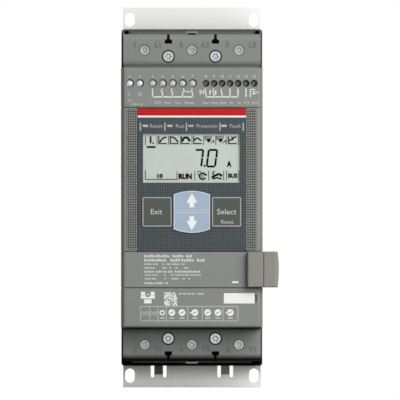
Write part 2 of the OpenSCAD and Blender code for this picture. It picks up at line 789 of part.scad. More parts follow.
module terminal_clamp(x, side) {
    color(zinc) stand_up() at_end(side) translate([x, 0, base_front]) difference() {
        translate([-clamp_w / 2, clamp_y, 0]) cube([clamp_w, clamp_l, clamp_h]);
        translate([-clamp_w / 2 + clamp_t, clamp_y - cut, clamp_t])
            cube([clamp_w - 2 * clamp_t, clamp_l + 2 * cut, clamp_h - 2.5 * clamp_t]);
        translate([0, clamp_screw_y, clamp_h - 3 * clamp_t])
            cylinder(r = clamp_screw_r + running_gap, h = 4 * clamp_t);
    }
}

module line_clamp_left() terminal_clamp(-pole_pitch, 1);
module line_clamp_middle() terminal_clamp(0, 1);
module line_clamp_right() terminal_clamp(pole_pitch, 1);
module load_clamp_left() terminal_clamp(-pole_pitch, -1);
module load_clamp_middle() terminal_clamp(0, -1);
module load_clamp_right() terminal_clamp(pole_pitch, -1);

module clamp_screws() {
    socket_deep = 2.6;
    socket_r = 0.6 * clamp_screw_r;
    color(zinc) stand_up() for (x = poles, side = ends)
        at_end(side) translate([x, clamp_screw_y, clamp_screw_top - clamp_screw_l]) difference() {
            cylinder(r = clamp_screw_r, h = clamp_screw_l);
            translate([0, 0, clamp_screw_l - socket_deep])
                cylinder(r = socket_r, h = socket_deep + cut, $fn = 6);
        }
}

module current_sensor(x) {
    half = bar_w / 2 + sensor_wall;
    y = -module_l / 2 - sensor_room - sensor_t / 2;
    color([0.16, 0.2, 0.34]) stand_up() translate([x, y, 0]) difference() {
        span([-half, -sensor_t / 2, module_top - 2 * sensor_wall], [half, sensor_t / 2, power_board_z]);
        span([-bar_w / 2 - slip, -sensor_t / 2 - cut, module_top - slip],
             [bar_w / 2 + slip, sensor_t / 2 + cut, module_top + bar_t + slip]);
    }
}

module current_sensor_left() current_sensor(-pole_pitch);
module current_sensor_right() current_sensor(pole_pitch);

module bypass_relay(x) {
    color([0.85, 0.86, 0.84]) stand_up() translate([x, 0, power_board_z + board_t])
        linear_extrude(relay_h) rounded_rect(relay_w, relay_l, relay_r);
}

module bypass_relay_left() bypass_relay(-relay_x);
module bypass_relay_right() bypass_relay(relay_x);

module power_board() {
    front = power_board_z + board_t;
    color(board_green) stand_up() {
        difference() {
            span([-power_board_x, -power_board_h / 2, power_board_z],
                 [power_board_x, power_board_h / 2, front]);
            at_board_screws() translate([0, 0, power_board_z - cut])
                cylinder(r = board_screw_r + running_gap, h = board_t + 2 * cut);
        }
        // Pin header, supply transformer and smoothing capacitors
        translate([-header_w / 2, header_y - header_d / 2, front]) cube([header_w, header_d, header_h]);
        translate([-transformer[0] / 2, relay_l / 2 + relay_room, front]) cube(transformer);
        for (s = [-1, 1])
            translate([s * capacitor_x, relay_l / 2 + relay_room + transformer[1] / 2, front])
                cylinder(r = capacitor_r, h = capacitor_h);
    }
}

module power_board_screws() {
    head_h = 2;
    color(zinc) stand_up() at_board_screws() {
        translate([0, 0, power_board_z - rib_h]) cylinder(r = board_screw_r, h = rib_h + board_t);
        translate([0, 0, power_board_z + board_t]) cylinder(r = board_head_r, h = head_h);
    }
}

module board_ribbon() {
    half = header_w / 2 - ribbon_in;
    color("lightgray") stand_up()
        span([-half, header_y - ribbon_t / 2, power_board_z + board_t + header_h],
             [half, header_y + ribbon_t / 2, control_board_z - header_h]);
}

// Front housing

// A shadow groove round the front block at one height
module band_groove(y) {
    translate([0, y, 0]) difference() {
        span([-body_w / 2 - cut, -groove_w / 2, base_front - cut],
             [body_w / 2 + cut, groove_w / 2, block_front + cut]);
        span([-body_w / 2 + groove_deep, -groove_w, base_front - 2 * cut],
             [body_w / 2 - groove_deep, groove_w, block_front - groove_deep]);
    }
}

module terminal_holes(xs, head_r) {
    for (x = xs) translate([x, screw_y, face_back - cut])
        cylinder(r = head_r + screw_hole_gap, h = face_wall + 2 * cut);
}

// Window in the block's upper wall for the wires of one terminal block
module wire_window(xs, r) {
    span([min(xs) - r, block_y - wall - cut, control_face + wire_up - r - slip],
         [max(xs) + r, block_y + cut, control_face + wire_up + r + slip]);
}

// Tabs that reach down inside the rear housing's side walls, on a thicker root
module snap_tabs() {
    for (s = [0, 1], side = ends) mirror([s, 0, 0]) at_end(side)
        translate([in_x - slip - tab_t, block_y - wall - tab_w, base_front]) {
            translate([0, 0, -tab_l]) cube([tab_t, tab_w, tab_l + tab_root]);
            translate([0, 0, slip]) cube([tab_t + slip + cut, tab_w + cut, tab_root]);
        }
}

module front_housing() {
    color(body_grey) stand_up() difference() {
        union() {
            difference() {
                intersection() {
                    along_y(-block_y, block_y)
                        round_fronted(body_w / 2, base_front, block_front, block_edge_r);
                    along_x(body_w)
                        round_fronted(block_y, base_front, block_front, block_edge_r / 2);
                }
                span([-in_x, -block_y + wall, base_front - cut], [in_x, block_y - wall, face_back]);
            }
            for (s = [-1, 1], y = control_boss_ys) translate([s * control_boss_x, y, control_face])
                cylinder(r = control_boss_r, h = face_back - control_face + cut);
            snap_tabs();
        }
        // Panel recess and the opening behind it
        span([-panel_w / 2 - slip, panel_low - slip, panel_back],
             [panel_w / 2 + slip, panel_top + slip, block_front + cut]);
        span([-panel_w / 2 + panel_ledge, panel_low + panel_ledge, face_back - cut],
             [panel_w / 2 - panel_ledge, panel_top - panel_ledge, block_front]);
        terminal_holes(supply_xs, wide_head_r);
        terminal_holes(relay_xs, wide_head_r);
        terminal_holes(input_xs, narrow_head_r);
        wire_window(supply_xs, wide_wire_r);
        wire_window(relay_xs, wide_wire_r);
        wire_window(input_xs, narrow_wire_r);
        // Fieldbus socket
        translate([plug_nose_x, plug_y, face_back - cut]) linear_extrude(face_wall + 2 * cut)
            square([plug_nose_w + 2 * slip, plug_nose_h + 2 * slip], center = true);
        // Name tag and its finger notch
        translate([tag_x, tag_y, block_front - tag_t])
            linear_extrude(tag_t + cut) square([tag_w + slip, tag_h + slip], center = true);
        span([tag_x + tag_w / 2 - cut, tag_y - tag_h / 3, block_front - 2 * tag_t],
             [tag_x + tag_w / 2 + notch_w, tag_y + tag_h / 3, block_front + cut]);
        for (y = band_ys) band_groove(y);
        // Seam of the blank field opposite the plug
        span([-panel_w / 2 - groove_w / 2, plug_low, block_front - groove_deep / 3],
             [-panel_w / 2, panel_low, block_front + cut]);
        for (s = [-1, 1], y = control_boss_ys) translate([s * control_boss_x, y, control_face - cut])
            cylinder(r = control_screw_r + running_gap, h = control_screw_l + 2 * cut);
    }
}

// Terminal covers

module barrier_slot() {
    top = cover_out_y - barrier_mouth_l;
    // The shoulders' slopes would meet here, above the mouth
    shoulder_peak = barrier_shoulder * barrier_bar_w / (barrier_bar_w - barrier_mouth);
    translate([0, 0, cover_front - barrier_deep]) linear_extrude(barrier_deep + cut) {
        translate([-barrier_mouth / 2, top - cut]) square([barrier_mouth, barrier_mouth_l + 2 * cut]);
        translate([-barrier_bar_w / 2, top - barrier_bar_h]) square([barrier_bar_w, barrier_bar_h]);
        polygon([[-barrier_bar_w / 2, top], [barrier_bar_w / 2, top], [0, top + shoulder_peak]]);
    }
}

// Cable mouth in a cover's outer wall, in line with the clamp's window
module cable_mouth() {
    span([-clamp_w / 2 + clamp_t - slip, cover_out_y - cover_wall - cut, base_front + clamp_t],
         [clamp_w / 2 - clamp_t + slip, cover_out_y + cut, base_front + clamp_h - 1.5 * clamp_t]);
}

module terminal_cover(side) {
    rail_w = barrier_bar_w + 2 * cover_wall;
    rail_rim = 1.5;
    rail_low = cover_out_y - barrier_mouth_l - barrier_bar_h - rail_rim;
    color(body_grey) stand_up() at_end(side) difference() {
        union() {
            difference() {
                translate([0, (cover_in_y + cover_out_y) / 2, 0]) along_x(2 * cover_x)
                    round_fronted((cover_out_y - cover_in_y) / 2, base_front, cover_front, cover_edge_r);
                span([-cover_x + cover_wall, cover_in_y + cover_wall, base_front - cut],
                     [cover_x - cover_wall, cover_out_y - cover_wall, cover_front - cover_wall]);
            }
            for (s = [-1, 1]) {
                translate([s * cover_screw_x, cover_screw_y, base_front])
                    cylinder(r = cover_boss_r, h = cover_front - cover_wall / 2 - base_front);
                translate([s * cover_screw_x, 0, 0])
                    span([-rail_w / 2, rail_low, base_front],
                         [rail_w / 2, cover_out_y - cover_wall / 2, cover_front - cover_wall]);
            }
            // Lug of the pry pocket, in the middle of the outer edge
            span([-pry_w / 2, cover_out_y - cover_wall / 2, cover_front - cover_edge_r - pry_l],
                 [pry_w / 2, cover_out_y + pry_h, cover_front - cover_edge_r]);
        }
        for (s = [-1, 1]) translate([s * cover_screw_x, 0, 0]) {
            translate([0, cover_screw_y, base_front - cut])
                cylinder(r = cover_shank_r + slip, h = cover_front - base_front + 2 * cut);
            translate([0, cover_screw_y, cover_seat_z])
                cylinder(r = cover_bore_r, h = cover_front - cover_seat_z + cut);
            barrier_slot();
        }
        for (x = poles) translate([x, 0, 0]) {
            translate([0, clamp_screw_y, cover_front - cover_wall - cut])
                cylinder(r = clamp_screw_r + slip, h = cover_wall + 2 * cut);
            cable_mouth();
        }
        span([-pry_w / 2 + pry_rim, cover_out_y - pry_in, cover_front - cover_edge_r - pry_l + pry_rim],
             [pry_w / 2 - pry_rim, cover_out_y + pry_h - pry_rim, cover_front]);
    }
}

module upper_terminal_cover() terminal_cover(1);
module lower_terminal_cover() terminal_cover(-1);

// Six-lobed driver recess
module lobed_recess(r, deep) {
    lobe = r * 0.25;
    translate([0, 0, -deep]) {
        cylinder(r = r * 0.72, h = deep + cut);
        for (a = [0:60:300]) rotate(a) translate([r - lobe, 0, 0]) cylinder(r = lobe, h = deep + cut);
    }
}

module cover_screws() {
    color(zinc) stand_up() for (s = [-1, 1], side = ends)
        at_end(side) translate([s * cover_screw_x, cover_screw_y, 0]) difference() {
            union() {
                translate([0, 0, cover_seat_z]) cylinder(r = cover_head_r, h = cover_head_h);
                translate([0, 0, base_front - thread_l])
                    cylinder(r = cover_shank_r, h = cover_seat_z - base_front + thread_l);
            }
            translate([0, 0, cover_seat_z + cover_head_h])
                lobed_recess(cover_head_r * 0.62, cover_head_h * 0.6);
        }
}

// Control electronics

module control_board() {
    color(board_green) stand_up() {
        difference() {
            span([-control_board_x, control_board_low, control_board_z],
                 [control_board_x, control_board_top, control_face]);
            for (s = [-1, 1], y = control_boss_ys) translate([s * control_boss_x, y, control_board_z - cut])
                cylinder(r = control_screw_r + running_gap, h = board_t + 2 * cut);
        }
        // Pin header at the back and the four lamps at the front
        translate([-header_w / 2, header_y - header_d / 2, control_board_z - header_h])
            cube([header_w, header_d, header_h]);
        for (x = light_xs) translate([x, light_y, control_face])
            cylinder(r = light_h / 2, h = light_floor - control_face);
    }
}

module control_board_screws() {
    head_h = 2;
    color(zinc) stand_up() for (s = [-1, 1], y = control_boss_ys)
        translate([s * control_boss_x, y, control_board_z]) {
            cylinder(r = control_screw_r, h = board_t + control_screw_l);
            translate([0, 0, -head_h]) cylinder(r = 2 * control_screw_r, h = head_h);
        }
}

module key_switches() {
    top = stem_end - key_travel - switch_gap;
    color(black_plastic) stand_up() for (p = key_places) translate([p[0], p[1], control_face]) {
        linear_extrude(switch_h) square(switch_w, center = true);
        cylinder(r = 0.85 * key_stem_r, h = top - control_face);
    }
}

module lcd_module() {
    rim = 1.6;
    leg_r = 1.5;
    back = panel_back - lcd_t;
    color([0.76, 0.79, 0.76]) stand_up() translate([0, window_y, 0]) {
        translate([0, 0, back]) linear_extrude(lcd_t)
            square([window_w + 2 * rim, window_h + 2 * rim], center = true);
        for (sx = [-1, 1], sy = [-1, 1])
            translate([sx * (window_w / 2 - leg_r), sy * (window_h / 2 - leg_r), control_face])
                cylinder(r = leg_r, h = back - control_face);
    }
}

// Outline of both arrow keys together, grown by a margin
module arrow_outline(margin) {
    rise = arrow_arch_r - arrow_h / 2;
    intersection() {
        square([arrow_w + 2 * margin, 2 * arrow_h], center = true);
        translate([0, -rise]) circle(r = arrow_arch_r + margin, $fn = 96);
        translate([0, rise]) circle(r = arrow_arch_r + margin, $fn = 96);
    }
}

module control_panel() {
    color(panel_blue) stand_up() translate([0, 0, panel_back]) difference() {
        linear_extrude(panel_t) difference() {
            translate([0, panel_y]) square([panel_w, panel_h], center = true);
            translate([0, window_y]) square([window_w + key_gap, window_h + key_gap], center = true);
            for (s = [-1, 1]) translate([s * key_x, key_y])
                rounded_rect(key_w + 2 * key_gap, key_h + 2 * key_gap, key_r + key_gap);
            translate([0, key_y]) arrow_outline(key_gap);
            for (x = light_xs) translate([x, light_y])
                square([light_w + key_gap, light_h + key_gap], center = true);
        }
        translate([-panel_w / 2 - cut, panel_top - strip_h, panel_t - strip_t])
            cube([panel_w + 2 * cut, strip_h + cut, strip_t + cut]);
    }
}

module header_strip() {
    color([0.75, 0.13, 0.13]) stand_up()
        span([-panel_w / 2, panel_top - strip_h, block_front - strip_t],
             [panel_w / 2, panel_top, block_front]);
}

module display_window() {
    color([0.76, 0.79, 0.76, 0.4]) stand_up() translate([0, window_y, panel_back])
        linear_extrude(panel_t) square([window_w, window_h], center = true);
}

module status_light_pipes() {
    color([0.85, 0.85, 0.7]) stand_up() for (x = light_xs) translate([x, light_y, light_floor])
        linear_extrude(block_front - light_floor) square([light_w, light_h], center = true);
}

module square_key(x) {
    color(key_grey) stand_up() translate([x, key_y, key_back]) {
        linear_extrude(key_front - key_back) rounded_rect(key_w, key_h, key_r);
        linear_extrude(key_lip_t)
            square([key_w - 2 * key_r, key_h + 2 * (key_flange + key_gap)], center = true);
        translate([0, 0, -key_stem_l]) cylinder(r = key_stem_r, h = key_stem_l + cut);
    }
}

module exit_key() square_key(-key_x);
module select_key() square_key(key_x);

module arrow_key(side) {
    color(arrow_blue) stand_up() translate([0, key_y, key_back]) at_end(side) {
        intersection() {
            union() {
                linear_extrude(key_front - key_back) arrow_outline(0);
                linear_extrude(key_lip_t)
                    square([arrow_w / 2, arrow_h + 2 * (key_flange + key_gap)], center = true);
            }
            translate([-arrow_w, arrow_split / 2, -cut])
                cube([2 * arrow_w, arrow_h, key_front - key_back + 2 * cut]);
        }
        translate([0, arrow_h / 4, -key_stem_l]) cylinder(r = key_stem_r, h = key_stem_l + cut);
    }
}

module up_key() arrow_key(1);
module down_key() arrow_key(-1);

// Control terminals

module terminal_block(xs, head_r, wire_r) {
    well_r = head_r + slip / 2;
    side = head_r + block_rim;
    top = block_y - wall - slip;
    color([0.3, 0.31, 0.3]) stand_up() difference() {
        span([min(xs) - side, screw_y - block_low, control_face],
             [max(xs) + side, top, face_back - slip]);
        for (x = xs) {
            translate([x, screw_y, face_back - slip - well_deep]) cylinder(r = well_r, h = well_deep + cut);
            translate([x, top + cut, control_face + wire_up]) rotate([90, 0, 0])
                cylinder(r = wire_r, h = well_deep + cut);
        }
    }
}

module supply_terminal_block() terminal_block(supply_xs, wide_head_r, wide_wire_r);
module relay_terminal_block() terminal_block(relay_xs, wide_head_r, wide_wire_r);
module input_terminal_block() terminal_block(input_xs, narrow_head_r, narrow_wire_r);

// A round head whose top is a dome
module domed_head(r, height) {
    crown = screw_crown * r;
    crown_r = (r * r + crown * crown) / (2 * crown);
    rotate_extrude() {
        square([r, height - crown]);
        intersection() {
            square([r, height]);
            translate([0, height - crown_r]) circle(r = crown_r);
        }
    }
}

module terminal_screws(xs, head_r, sunk) {
    floor_z = face_back - slip - well_deep;
    top = block_front - sunk;
    slot_width = 0.6;
    slot_deep = 0.7;
    color(zinc) stand_up() for (x = xs) translate([x, screw_y, 0]) difference() {
        translate([0, 0, floor_z]) domed_head(head_r, top - floor_z);
        translate([0, 0, top]) rotate(45) cube([3 * head_r, slot_width, 2 * slot_deep], center = true);
    }
}

module supply_terminal_screws() terminal_screws(supply_xs, wide_head_r, wide_sunk);
module relay_terminal_screws() terminal_screws(relay_xs, wide_head_r, wide_sunk);
module input_terminal_screws() terminal_screws(input_xs, narrow_head_r, narrow_sunk);

// Fieldbus plug, its socket and the name tag

module fieldbus_socket() {
    color(black_plastic) stand_up() translate([plug_nose_x, plug_y, control_face])
        linear_extrude(block_front - plug_nose - control_face)
            square([plug_nose_w, plug_nose_h], center = true);
}

// A rectangle from its low corner to its high corner, with four round corners
module round_span(low, high, r) {
    translate((low + high) / 2) rounded_rect(high[0] - low[0], high[1] - low[1], r);
}

// The plug seen from above: one leg on the front face, the other down the housing's side
module plug_profile() {
    side_x = body_w / 2 + slip;
    side_front = plug_front - plug_step;
    difference() {
        union() {
            round_span([plug_x, block_front], [side_x, plug_front], plug_r / 2);
            translate([plug_x, block_front]) square([side_x - plug_x, plug_proud / 2]);
            translate([side_x - plug_r, block_front]) square([plug_r, plug_proud]);
            round_span([side_x, plug_front - plug_back], [side_x + plug_side, side_front], plug_r);
            translate([side_x, plug_front - plug_back]) square([plug_side / 2, plug_back - plug_step]);
        }
        translate([side_x, side_front - plug_seam]) square([plug_seam, plug_seam + cut]);
    }
}

// The plug seen from the front, with a bowed outer side
module plug_outline() {
    right = body_w / 2 + slip + plug_side;
    bow_r = (plug_h * plug_h / 4 + plug_bow * plug_bow) / (2 * plug_bow);
    intersection() {
        round_span([plug_x, plug_low], [right, plug_low + plug_h], plug_r / 2);
        translate([right - bow_r, plug_y]) circle(r = bow_r, $fn = 96);
    }
}

module fieldbus_plug() {
    color(plug_grey) stand_up() {
        intersection() {
            along_y(plug_low, plug_low + plug_h) plug_profile();
            translate([0, 0, plug_front - plug_back - cut]) linear_extrude(plug_back + 2 * cut) plug_outline();
        }
        translate([plug_nose_x, plug_y, block_front - plug_nose])
            linear_extrude(plug_nose + cut) square([plug_nose_w, plug_nose_h], center = true);
    }
}

module name_tag() {
    color("white") stand_up() translate([tag_x, tag_y, block_front - tag_t])
        linear_extrude(tag_t) square([tag_w, tag_h], center = true);
}

mounting_plate();
plate_screws();
heat_sink();
base_housing();
fan_frame();
fan_rotor();
thyristor_module_left();
thyristor_module_right();
module_screws();
line_busbar_left();
line_busbar_right();
load_busbar_left();
load_busbar_right();
through_busbar();
line_clamp_left();
line_clamp_middle();
line_clamp_right();
load_clamp_left();
load_clamp_middle();
load_clamp_right();
clamp_screws();
current_sensor_left();
current_sensor_right();
bypass_relay_left();
bypass_relay_right();
power_board();
power_board_screws();
board_ribbon();
front_housing();
upper_terminal_cover();
lower_terminal_cover();
cover_screws();
control_board();
control_board_screws();
key_switches();
lcd_module();
control_panel();
header_strip();
display_window();
status_light_pipes();
exit_key();
select_key();
up_key();
down_key();
supply_terminal_block();
relay_terminal_block();
input_terminal_block();
supply_terminal_screws();
relay_terminal_screws();
input_terminal_screws();
fieldbus_socket();
fieldbus_plug();
name_tag();
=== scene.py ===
"""Dresses the soft starter: a finish for every solid, its printing, display, key faces and grip fields."""
import json
import math

import bpy
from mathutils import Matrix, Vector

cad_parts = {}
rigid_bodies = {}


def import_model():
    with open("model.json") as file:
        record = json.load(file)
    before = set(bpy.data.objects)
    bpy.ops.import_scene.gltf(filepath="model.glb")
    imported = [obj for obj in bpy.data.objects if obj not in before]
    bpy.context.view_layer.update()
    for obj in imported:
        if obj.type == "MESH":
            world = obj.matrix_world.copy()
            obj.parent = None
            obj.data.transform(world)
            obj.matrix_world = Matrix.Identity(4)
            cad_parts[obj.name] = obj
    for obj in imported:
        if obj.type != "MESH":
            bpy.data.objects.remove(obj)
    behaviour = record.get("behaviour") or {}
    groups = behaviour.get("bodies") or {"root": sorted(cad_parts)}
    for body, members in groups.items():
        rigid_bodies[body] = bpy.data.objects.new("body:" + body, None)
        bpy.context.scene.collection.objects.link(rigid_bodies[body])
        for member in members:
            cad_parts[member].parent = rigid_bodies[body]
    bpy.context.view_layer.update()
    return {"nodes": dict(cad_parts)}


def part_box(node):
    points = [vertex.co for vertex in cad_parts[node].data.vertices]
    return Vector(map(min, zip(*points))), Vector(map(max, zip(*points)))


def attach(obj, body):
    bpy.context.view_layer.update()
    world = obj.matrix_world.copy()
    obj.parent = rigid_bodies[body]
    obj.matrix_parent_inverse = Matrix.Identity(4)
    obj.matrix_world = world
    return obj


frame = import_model()

# Places and sizes of the printing are in millimetres, seen from the front: x to the right, z up.
MM = 0.001
INK = 0.05          # thickness of printing
CAPITALS = 0.7      # height of a capital as a share of the letters' size
ROUND_SIDES = 28    # sides of a printed disc or ring
MERGE = 1e-7        # points closer than this, in metres, are one
UPRIGHT = (math.pi / 2, 0, 0)   # stands a flat shape up, so that it faces the front
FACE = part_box("front_housing")[0].y
COVER_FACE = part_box("upper_terminal_cover")[0].y
KEY_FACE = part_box("exit_key")[0].y
LCD_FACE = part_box("lcd_module")[0].y


# Modelling by hand

def select_only(*objects):
    bpy.ops.object.select_all(action="DESELECT")
    for obj in objects:
        obj.select_set(True)
    bpy.context.view_layer.objects.active = objects[0]


def start_mesh(add, **values):
    """A new mesh from a primitive, with its place in the mesh, left open in edit mode."""
    bpy.ops.object.select_all(action="DESELECT")
    add(**values)
    bpy.ops.object.transform_apply(location=True, rotation=True, scale=True)
    bpy.ops.object.mode_set(mode="EDIT")
    bpy.ops.mesh.select_all(action="SELECT")
    return bpy.context.object


def close_mesh():
    bpy.ops.mesh.select_all(action="SELECT")
    bpy.ops.mesh.remove_doubles(threshold=MERGE)
    bpy.ops.mesh.normals_make_consistent(inside=False)
    bpy.ops.object.mode_set(mode="OBJECT")
    return bpy.context.object


def raise_by(thickness):
    """Pulls the selected faces forward, off the surface that they lie on."""
    bpy.ops.mesh.extrude_region_move(TRANSFORM_OT_translate={"value": (0, -thickness * MM, 0)})


def as_piece(obj, name, body, material):
    obj.name = name
    obj.data.name = name
    obj.data.materials.clear()
    obj.data.materials.append(material)
    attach(obj, body)
    return obj


def joined(parts):
    select_only(*parts)
    if len(parts) > 1:
        bpy.ops.object.join()
    bpy.ops.object.transform_apply(location=True, rotation=True, scale=True)
    return bpy.context.object


def bars(lines, face, thickness=INK):
    """Straight bars of print, each from (x0, z0) to (x1, z1) with its own width, as one mesh."""
    drawn = None
    for x0, z0, x1, z1, width in lines:
        length = math.hypot(x1 - x0, z1 - z0)
        middle = ((x0 + x1) / 2 * MM, face, (z0 + z1) / 2 * MM)
        plane = dict(size=length * MM, location=middle, rotation=UPRIGHT)
        if drawn is None:
            drawn = start_mesh(bpy.ops.mesh.primitive_plane_add, **plane)
        else:
            bpy.ops.mesh.primitive_plane_add(**plane)
        bpy.ops.transform.resize(value=(1, 1, width / length), center_override=middle)
        slant = math.atan2(z1 - z0, x1 - x0)
        if slant:
            bpy.ops.transform.rotate(value=slant, orient_axis="Y", center_override=middle)
        raise_by(thickness)
    return close_mesh()


def path(points, width):
    """The bars that join points one after the other."""
    return [(*a, *b, width) for a, b in zip(points, points[1:])]


def arc(x, z, radius, start, end, steps=8):
    turns = [math.radians(start + (end - start) * i / steps) for i in range(steps + 1)]
    return [(x + radius * math.cos(t), z + radius * math.sin(t)) for t in turns]


def round_face(x, z, radius, face):
    """What a filled circle that faces the front is made with."""
    return dict(vertices=ROUND_SIDES, radius=radius * MM, fill_type="NGON",
                location=(x * MM, face, z * MM), rotation=UPRIGHT)


def discs(places, radius, face):
    drawn = None
    for x, z in places:
        circle = round_face(x, z, radius, face)
        if drawn is None:
            drawn = start_mesh(bpy.ops.mesh.primitive_circle_add, **circle)
        else:
            bpy.ops.mesh.primitive_circle_add(**circle)
        raise_by(INK)
    return close_mesh()


def ring(x, z, radius, width, face, thickness=INK):
    start_mesh(bpy.ops.mesh.primitive_circle_add, **round_face(x, z, radius, face))
    return hollow_out(width, thickness)


def hollow_out(width, thickness):
    """Leaves a rim of the open mesh's one face, and raises it."""
    bpy.ops.mesh.inset(thickness=width * MM)
    bpy.ops.mesh.delete(type="FACE")
    bpy.ops.mesh.select_all(action="SELECT")
    raise_by(thickness)
    return close_mesh()


def word(text, x, base, height, face, width=None, bold=0.0, thickness=INK):
    """Lettering with its middle at x, its foot at base and its capitals of that height."""
    bpy.ops.object.select_all(action="DESELECT")
    bpy.ops.object.text_add(rotation=UPRIGHT)
    letters = bpy.context.object
    letters.data.body = text
    letters.data.size = height / CAPITALS * MM
    letters.data.offset = bold * MM
    letters.data.extrude = thickness / 2 * MM
    letters.data.resolution_u = 3
    letters.data.align_x = "CENTER"
    bpy.ops.object.convert(target="MESH")
    letters = bpy.context.object
    if width:
        letters.scale.x = width * MM / letters.dimensions.x
    letters.location = (x * MM, face - thickness / 2 * MM, base * MM)
    bpy.ops.object.transform_apply(location=True, rotation=True, scale=True)
    bpy.ops.object.mode_set(mode="EDIT")
    return close_mesh()


def front_face_of(node):
    """A copy of a solid that keeps only its foremost face, left open in edit mode."""
    flat = 1e-6
    select_only(bpy.data.objects[node])
    bpy.ops.object.duplicate()
    copy = bpy.context.object
    for key in list(copy.keys()):
        del copy[key]
    bpy.ops.object.parent_clear(type="CLEAR_KEEP_TRANSFORM")
    front = min(v.co.y for v in copy.data.vertices)
    bpy.context.tool_settings.mesh_select_mode = (False, False, True)
    for polygon in copy.data.polygons:
        polygon.select = polygon.center.y > front + flat
    bpy.ops.object.mode_set(mode="EDIT")
    bpy.ops.mesh.delete(type="FACE")
    bpy.ops.mesh.select_all(action="SELECT")
    bpy.ops.mesh.remove_doubles(threshold=MERGE)
    bpy.ops.mesh.dissolve_limited(angle_limit=math.radians(1))
    bpy.ops.mesh.select_all(action="SELECT")
    return copy


# Finishes

MIDDLE_NOISE = (0.3, 0.7)   # noise below and above this counts as none and as full
SHADE_SAMPLES = 6
PLAIN_GLOSS = 0.25          # specular level of a finish that sets no other


def srgb(red, green, blue):
    """A colour as it is seen on screen, 0 to 255, in the linear values that a shader takes."""
    def linear(value):
        value /= 255
        return value / 12.92 if value <= 0.04045 else ((value + 0.055) / 1.055) ** 2.4
    return (linear(red), linear(green), linear(blue), 1)


def scaled(colour, share):
    return tuple(min(1, c * share) for c in colour[:3]) + (1,)


def finish(name, colour, roughness, metallic=0.0):
    material = bpy.data.materials.new(name)
    material.use_nodes = True
    shader = material.node_tree.nodes["Principled BSDF"]
    shader.inputs["Base Color"].default_value = colour
    shader.inputs["Roughness"].default_value = roughness
    shader.inputs["Metallic"].default_value = metallic
    shader.inputs["Specular IOR Level"].default_value = PLAIN_GLOSS
    return material


def shader_of(material):
    return material.node_tree.nodes["Principled BSDF"]


def node(material, kind):
    return material.node_tree.nodes.new(kind)


def link(material, output, socket):
    material.node_tree.links.new(output, socket)


def paint(material, colour):
    link(material, colour, shader_of(material).inputs["Base Color"])


def polish(material, roughness):
    link(material, roughness, shader_of(material).inputs["Roughness"])


def object_place(material):
    return node(material, "ShaderNodeTexCoord").outputs["Object"]


def noise(material, size, detail=3.0):
    """Cloudy noise whose blots are about that many millimetres across."""
    texture = node(material, "ShaderNodeTexNoise")
    texture.inputs["Scale"].default_value = 1 / (size * MM)
    texture.inputs["Detail"].default_value = detail
    link(material, object_place(material), texture.inputs["Vector"])
    return texture.outputs["Fac"]


def stripes(material, direction, pitch):
    """Soft stripes, that many millimetres from one to the next."""
    wave = node(material, "ShaderNodeTexWave")
    wave.bands_direction = direction
    wave.inputs["Scale"].default_value = math.pi / 10 / (pitch * MM)
    link(material, object_place(material), wave.inputs["Vector"])
    return wave.outputs["Fac"]


def blend_colours(material, factor, first, second):
    mix = node(material, "ShaderNodeMix")
    mix.data_type = "RGBA"
    link(material, factor, mix.inputs[0])
    for socket, colour in ((mix.inputs[6], first), (mix.inputs[7], second)):
        if hasattr(colour, "is_output"):
            link(material, colour, socket)
        else:
            socket.default_value = colour
    return mix.outputs[2]


def ranged(material, value, low, high, new_low=0.0, new_high=1.0):
    ranging = node(material, "ShaderNodeMapRange")
    for name, number in (("From Min", low), ("From Max", high), ("To Min", new_low), ("To Max", new_high)):
        ranging.inputs[name].default_value = number
    link(material, value, ranging.inputs["Value"])
    return ranging.outputs["Result"]


def along(material, axis, start, end):
    """0 to 1 between two places on one axis, in millimetres."""
    place = node(material, "ShaderNodeSeparateXYZ")
    link(material, object_place(material), place.inputs[0])
    return ranged(material, place.outputs[axis], start * MM, end * MM)


def times(material, first, second):
    product = node(material, "ShaderNodeMath")
    product.operation = "MULTIPLY"
    link(material, first, product.inputs[0])
    link(material, second, product.inputs[1])
    return product.outputs[0]


def band(material, axis, rise, fall):
    """1 along a stretch of one axis, which it enters over the rise and leaves over the fall."""
    return times(material, along(material, axis, *rise), along(material, axis, *fall))


def overlay(material, share, colour):
    """Lays a colour over the finish where the share is 1."""
    below = shader_of(material).inputs["Base Color"].links[0].from_socket
    paint(material, blend_colours(material, share, below, colour))


def rounded_normal(material, radius):
    """The surface's normal as if its sharp edges were rounded to that radius in millimetres."""
    bevel = node(material, "ShaderNodeBevel")
    bevel.samples = SHADE_SAMPLES
    bevel.inputs["Radius"].default_value = radius * MM
    return bevel.outputs["Normal"]


def edge_share(material, normal):
    """0 on flat faces, and up to 1 where an edge is rounded."""
    true_normal = node(material, "ShaderNodeNewGeometry").outputs["True Normal"]
    dot = node(material, "ShaderNodeVectorMath")
    dot.operation = "DOT_PRODUCT"
    link(material, normal, dot.inputs[0])
    link(material, true_normal, dot.inputs[1])
    flat, rounded = 1.0, 0.75
    return ranged(material, dot.outputs["Value"], flat, rounded)


def openness(material, reach):
    """1 on open faces, and less in slots and recesses narrower than that many millimetres."""
    shade = node(material, "ShaderNodeAmbientOcclusion")
    shade.samples = SHADE_SAMPLES
    shade.inputs["Distance"].default_value = reach * MM
    deep, clear = 0.35, 0.9
    return ranged(material, shade.outputs["AO"], deep, clear)


def bump(material, height, depth, normal=None):
    """Roughens the surface by a texture, as deep as that many millimetres."""
    relief = node(material, "ShaderNodeBump")
    relief.inputs["Distance"].default_value = depth * MM
    link(material, height, relief.inputs["Height"])
    if normal:
        link(material, normal, relief.inputs["Normal"])
    link(material, relief.outputs["Normal"], shader_of(material).inputs["Normal"])


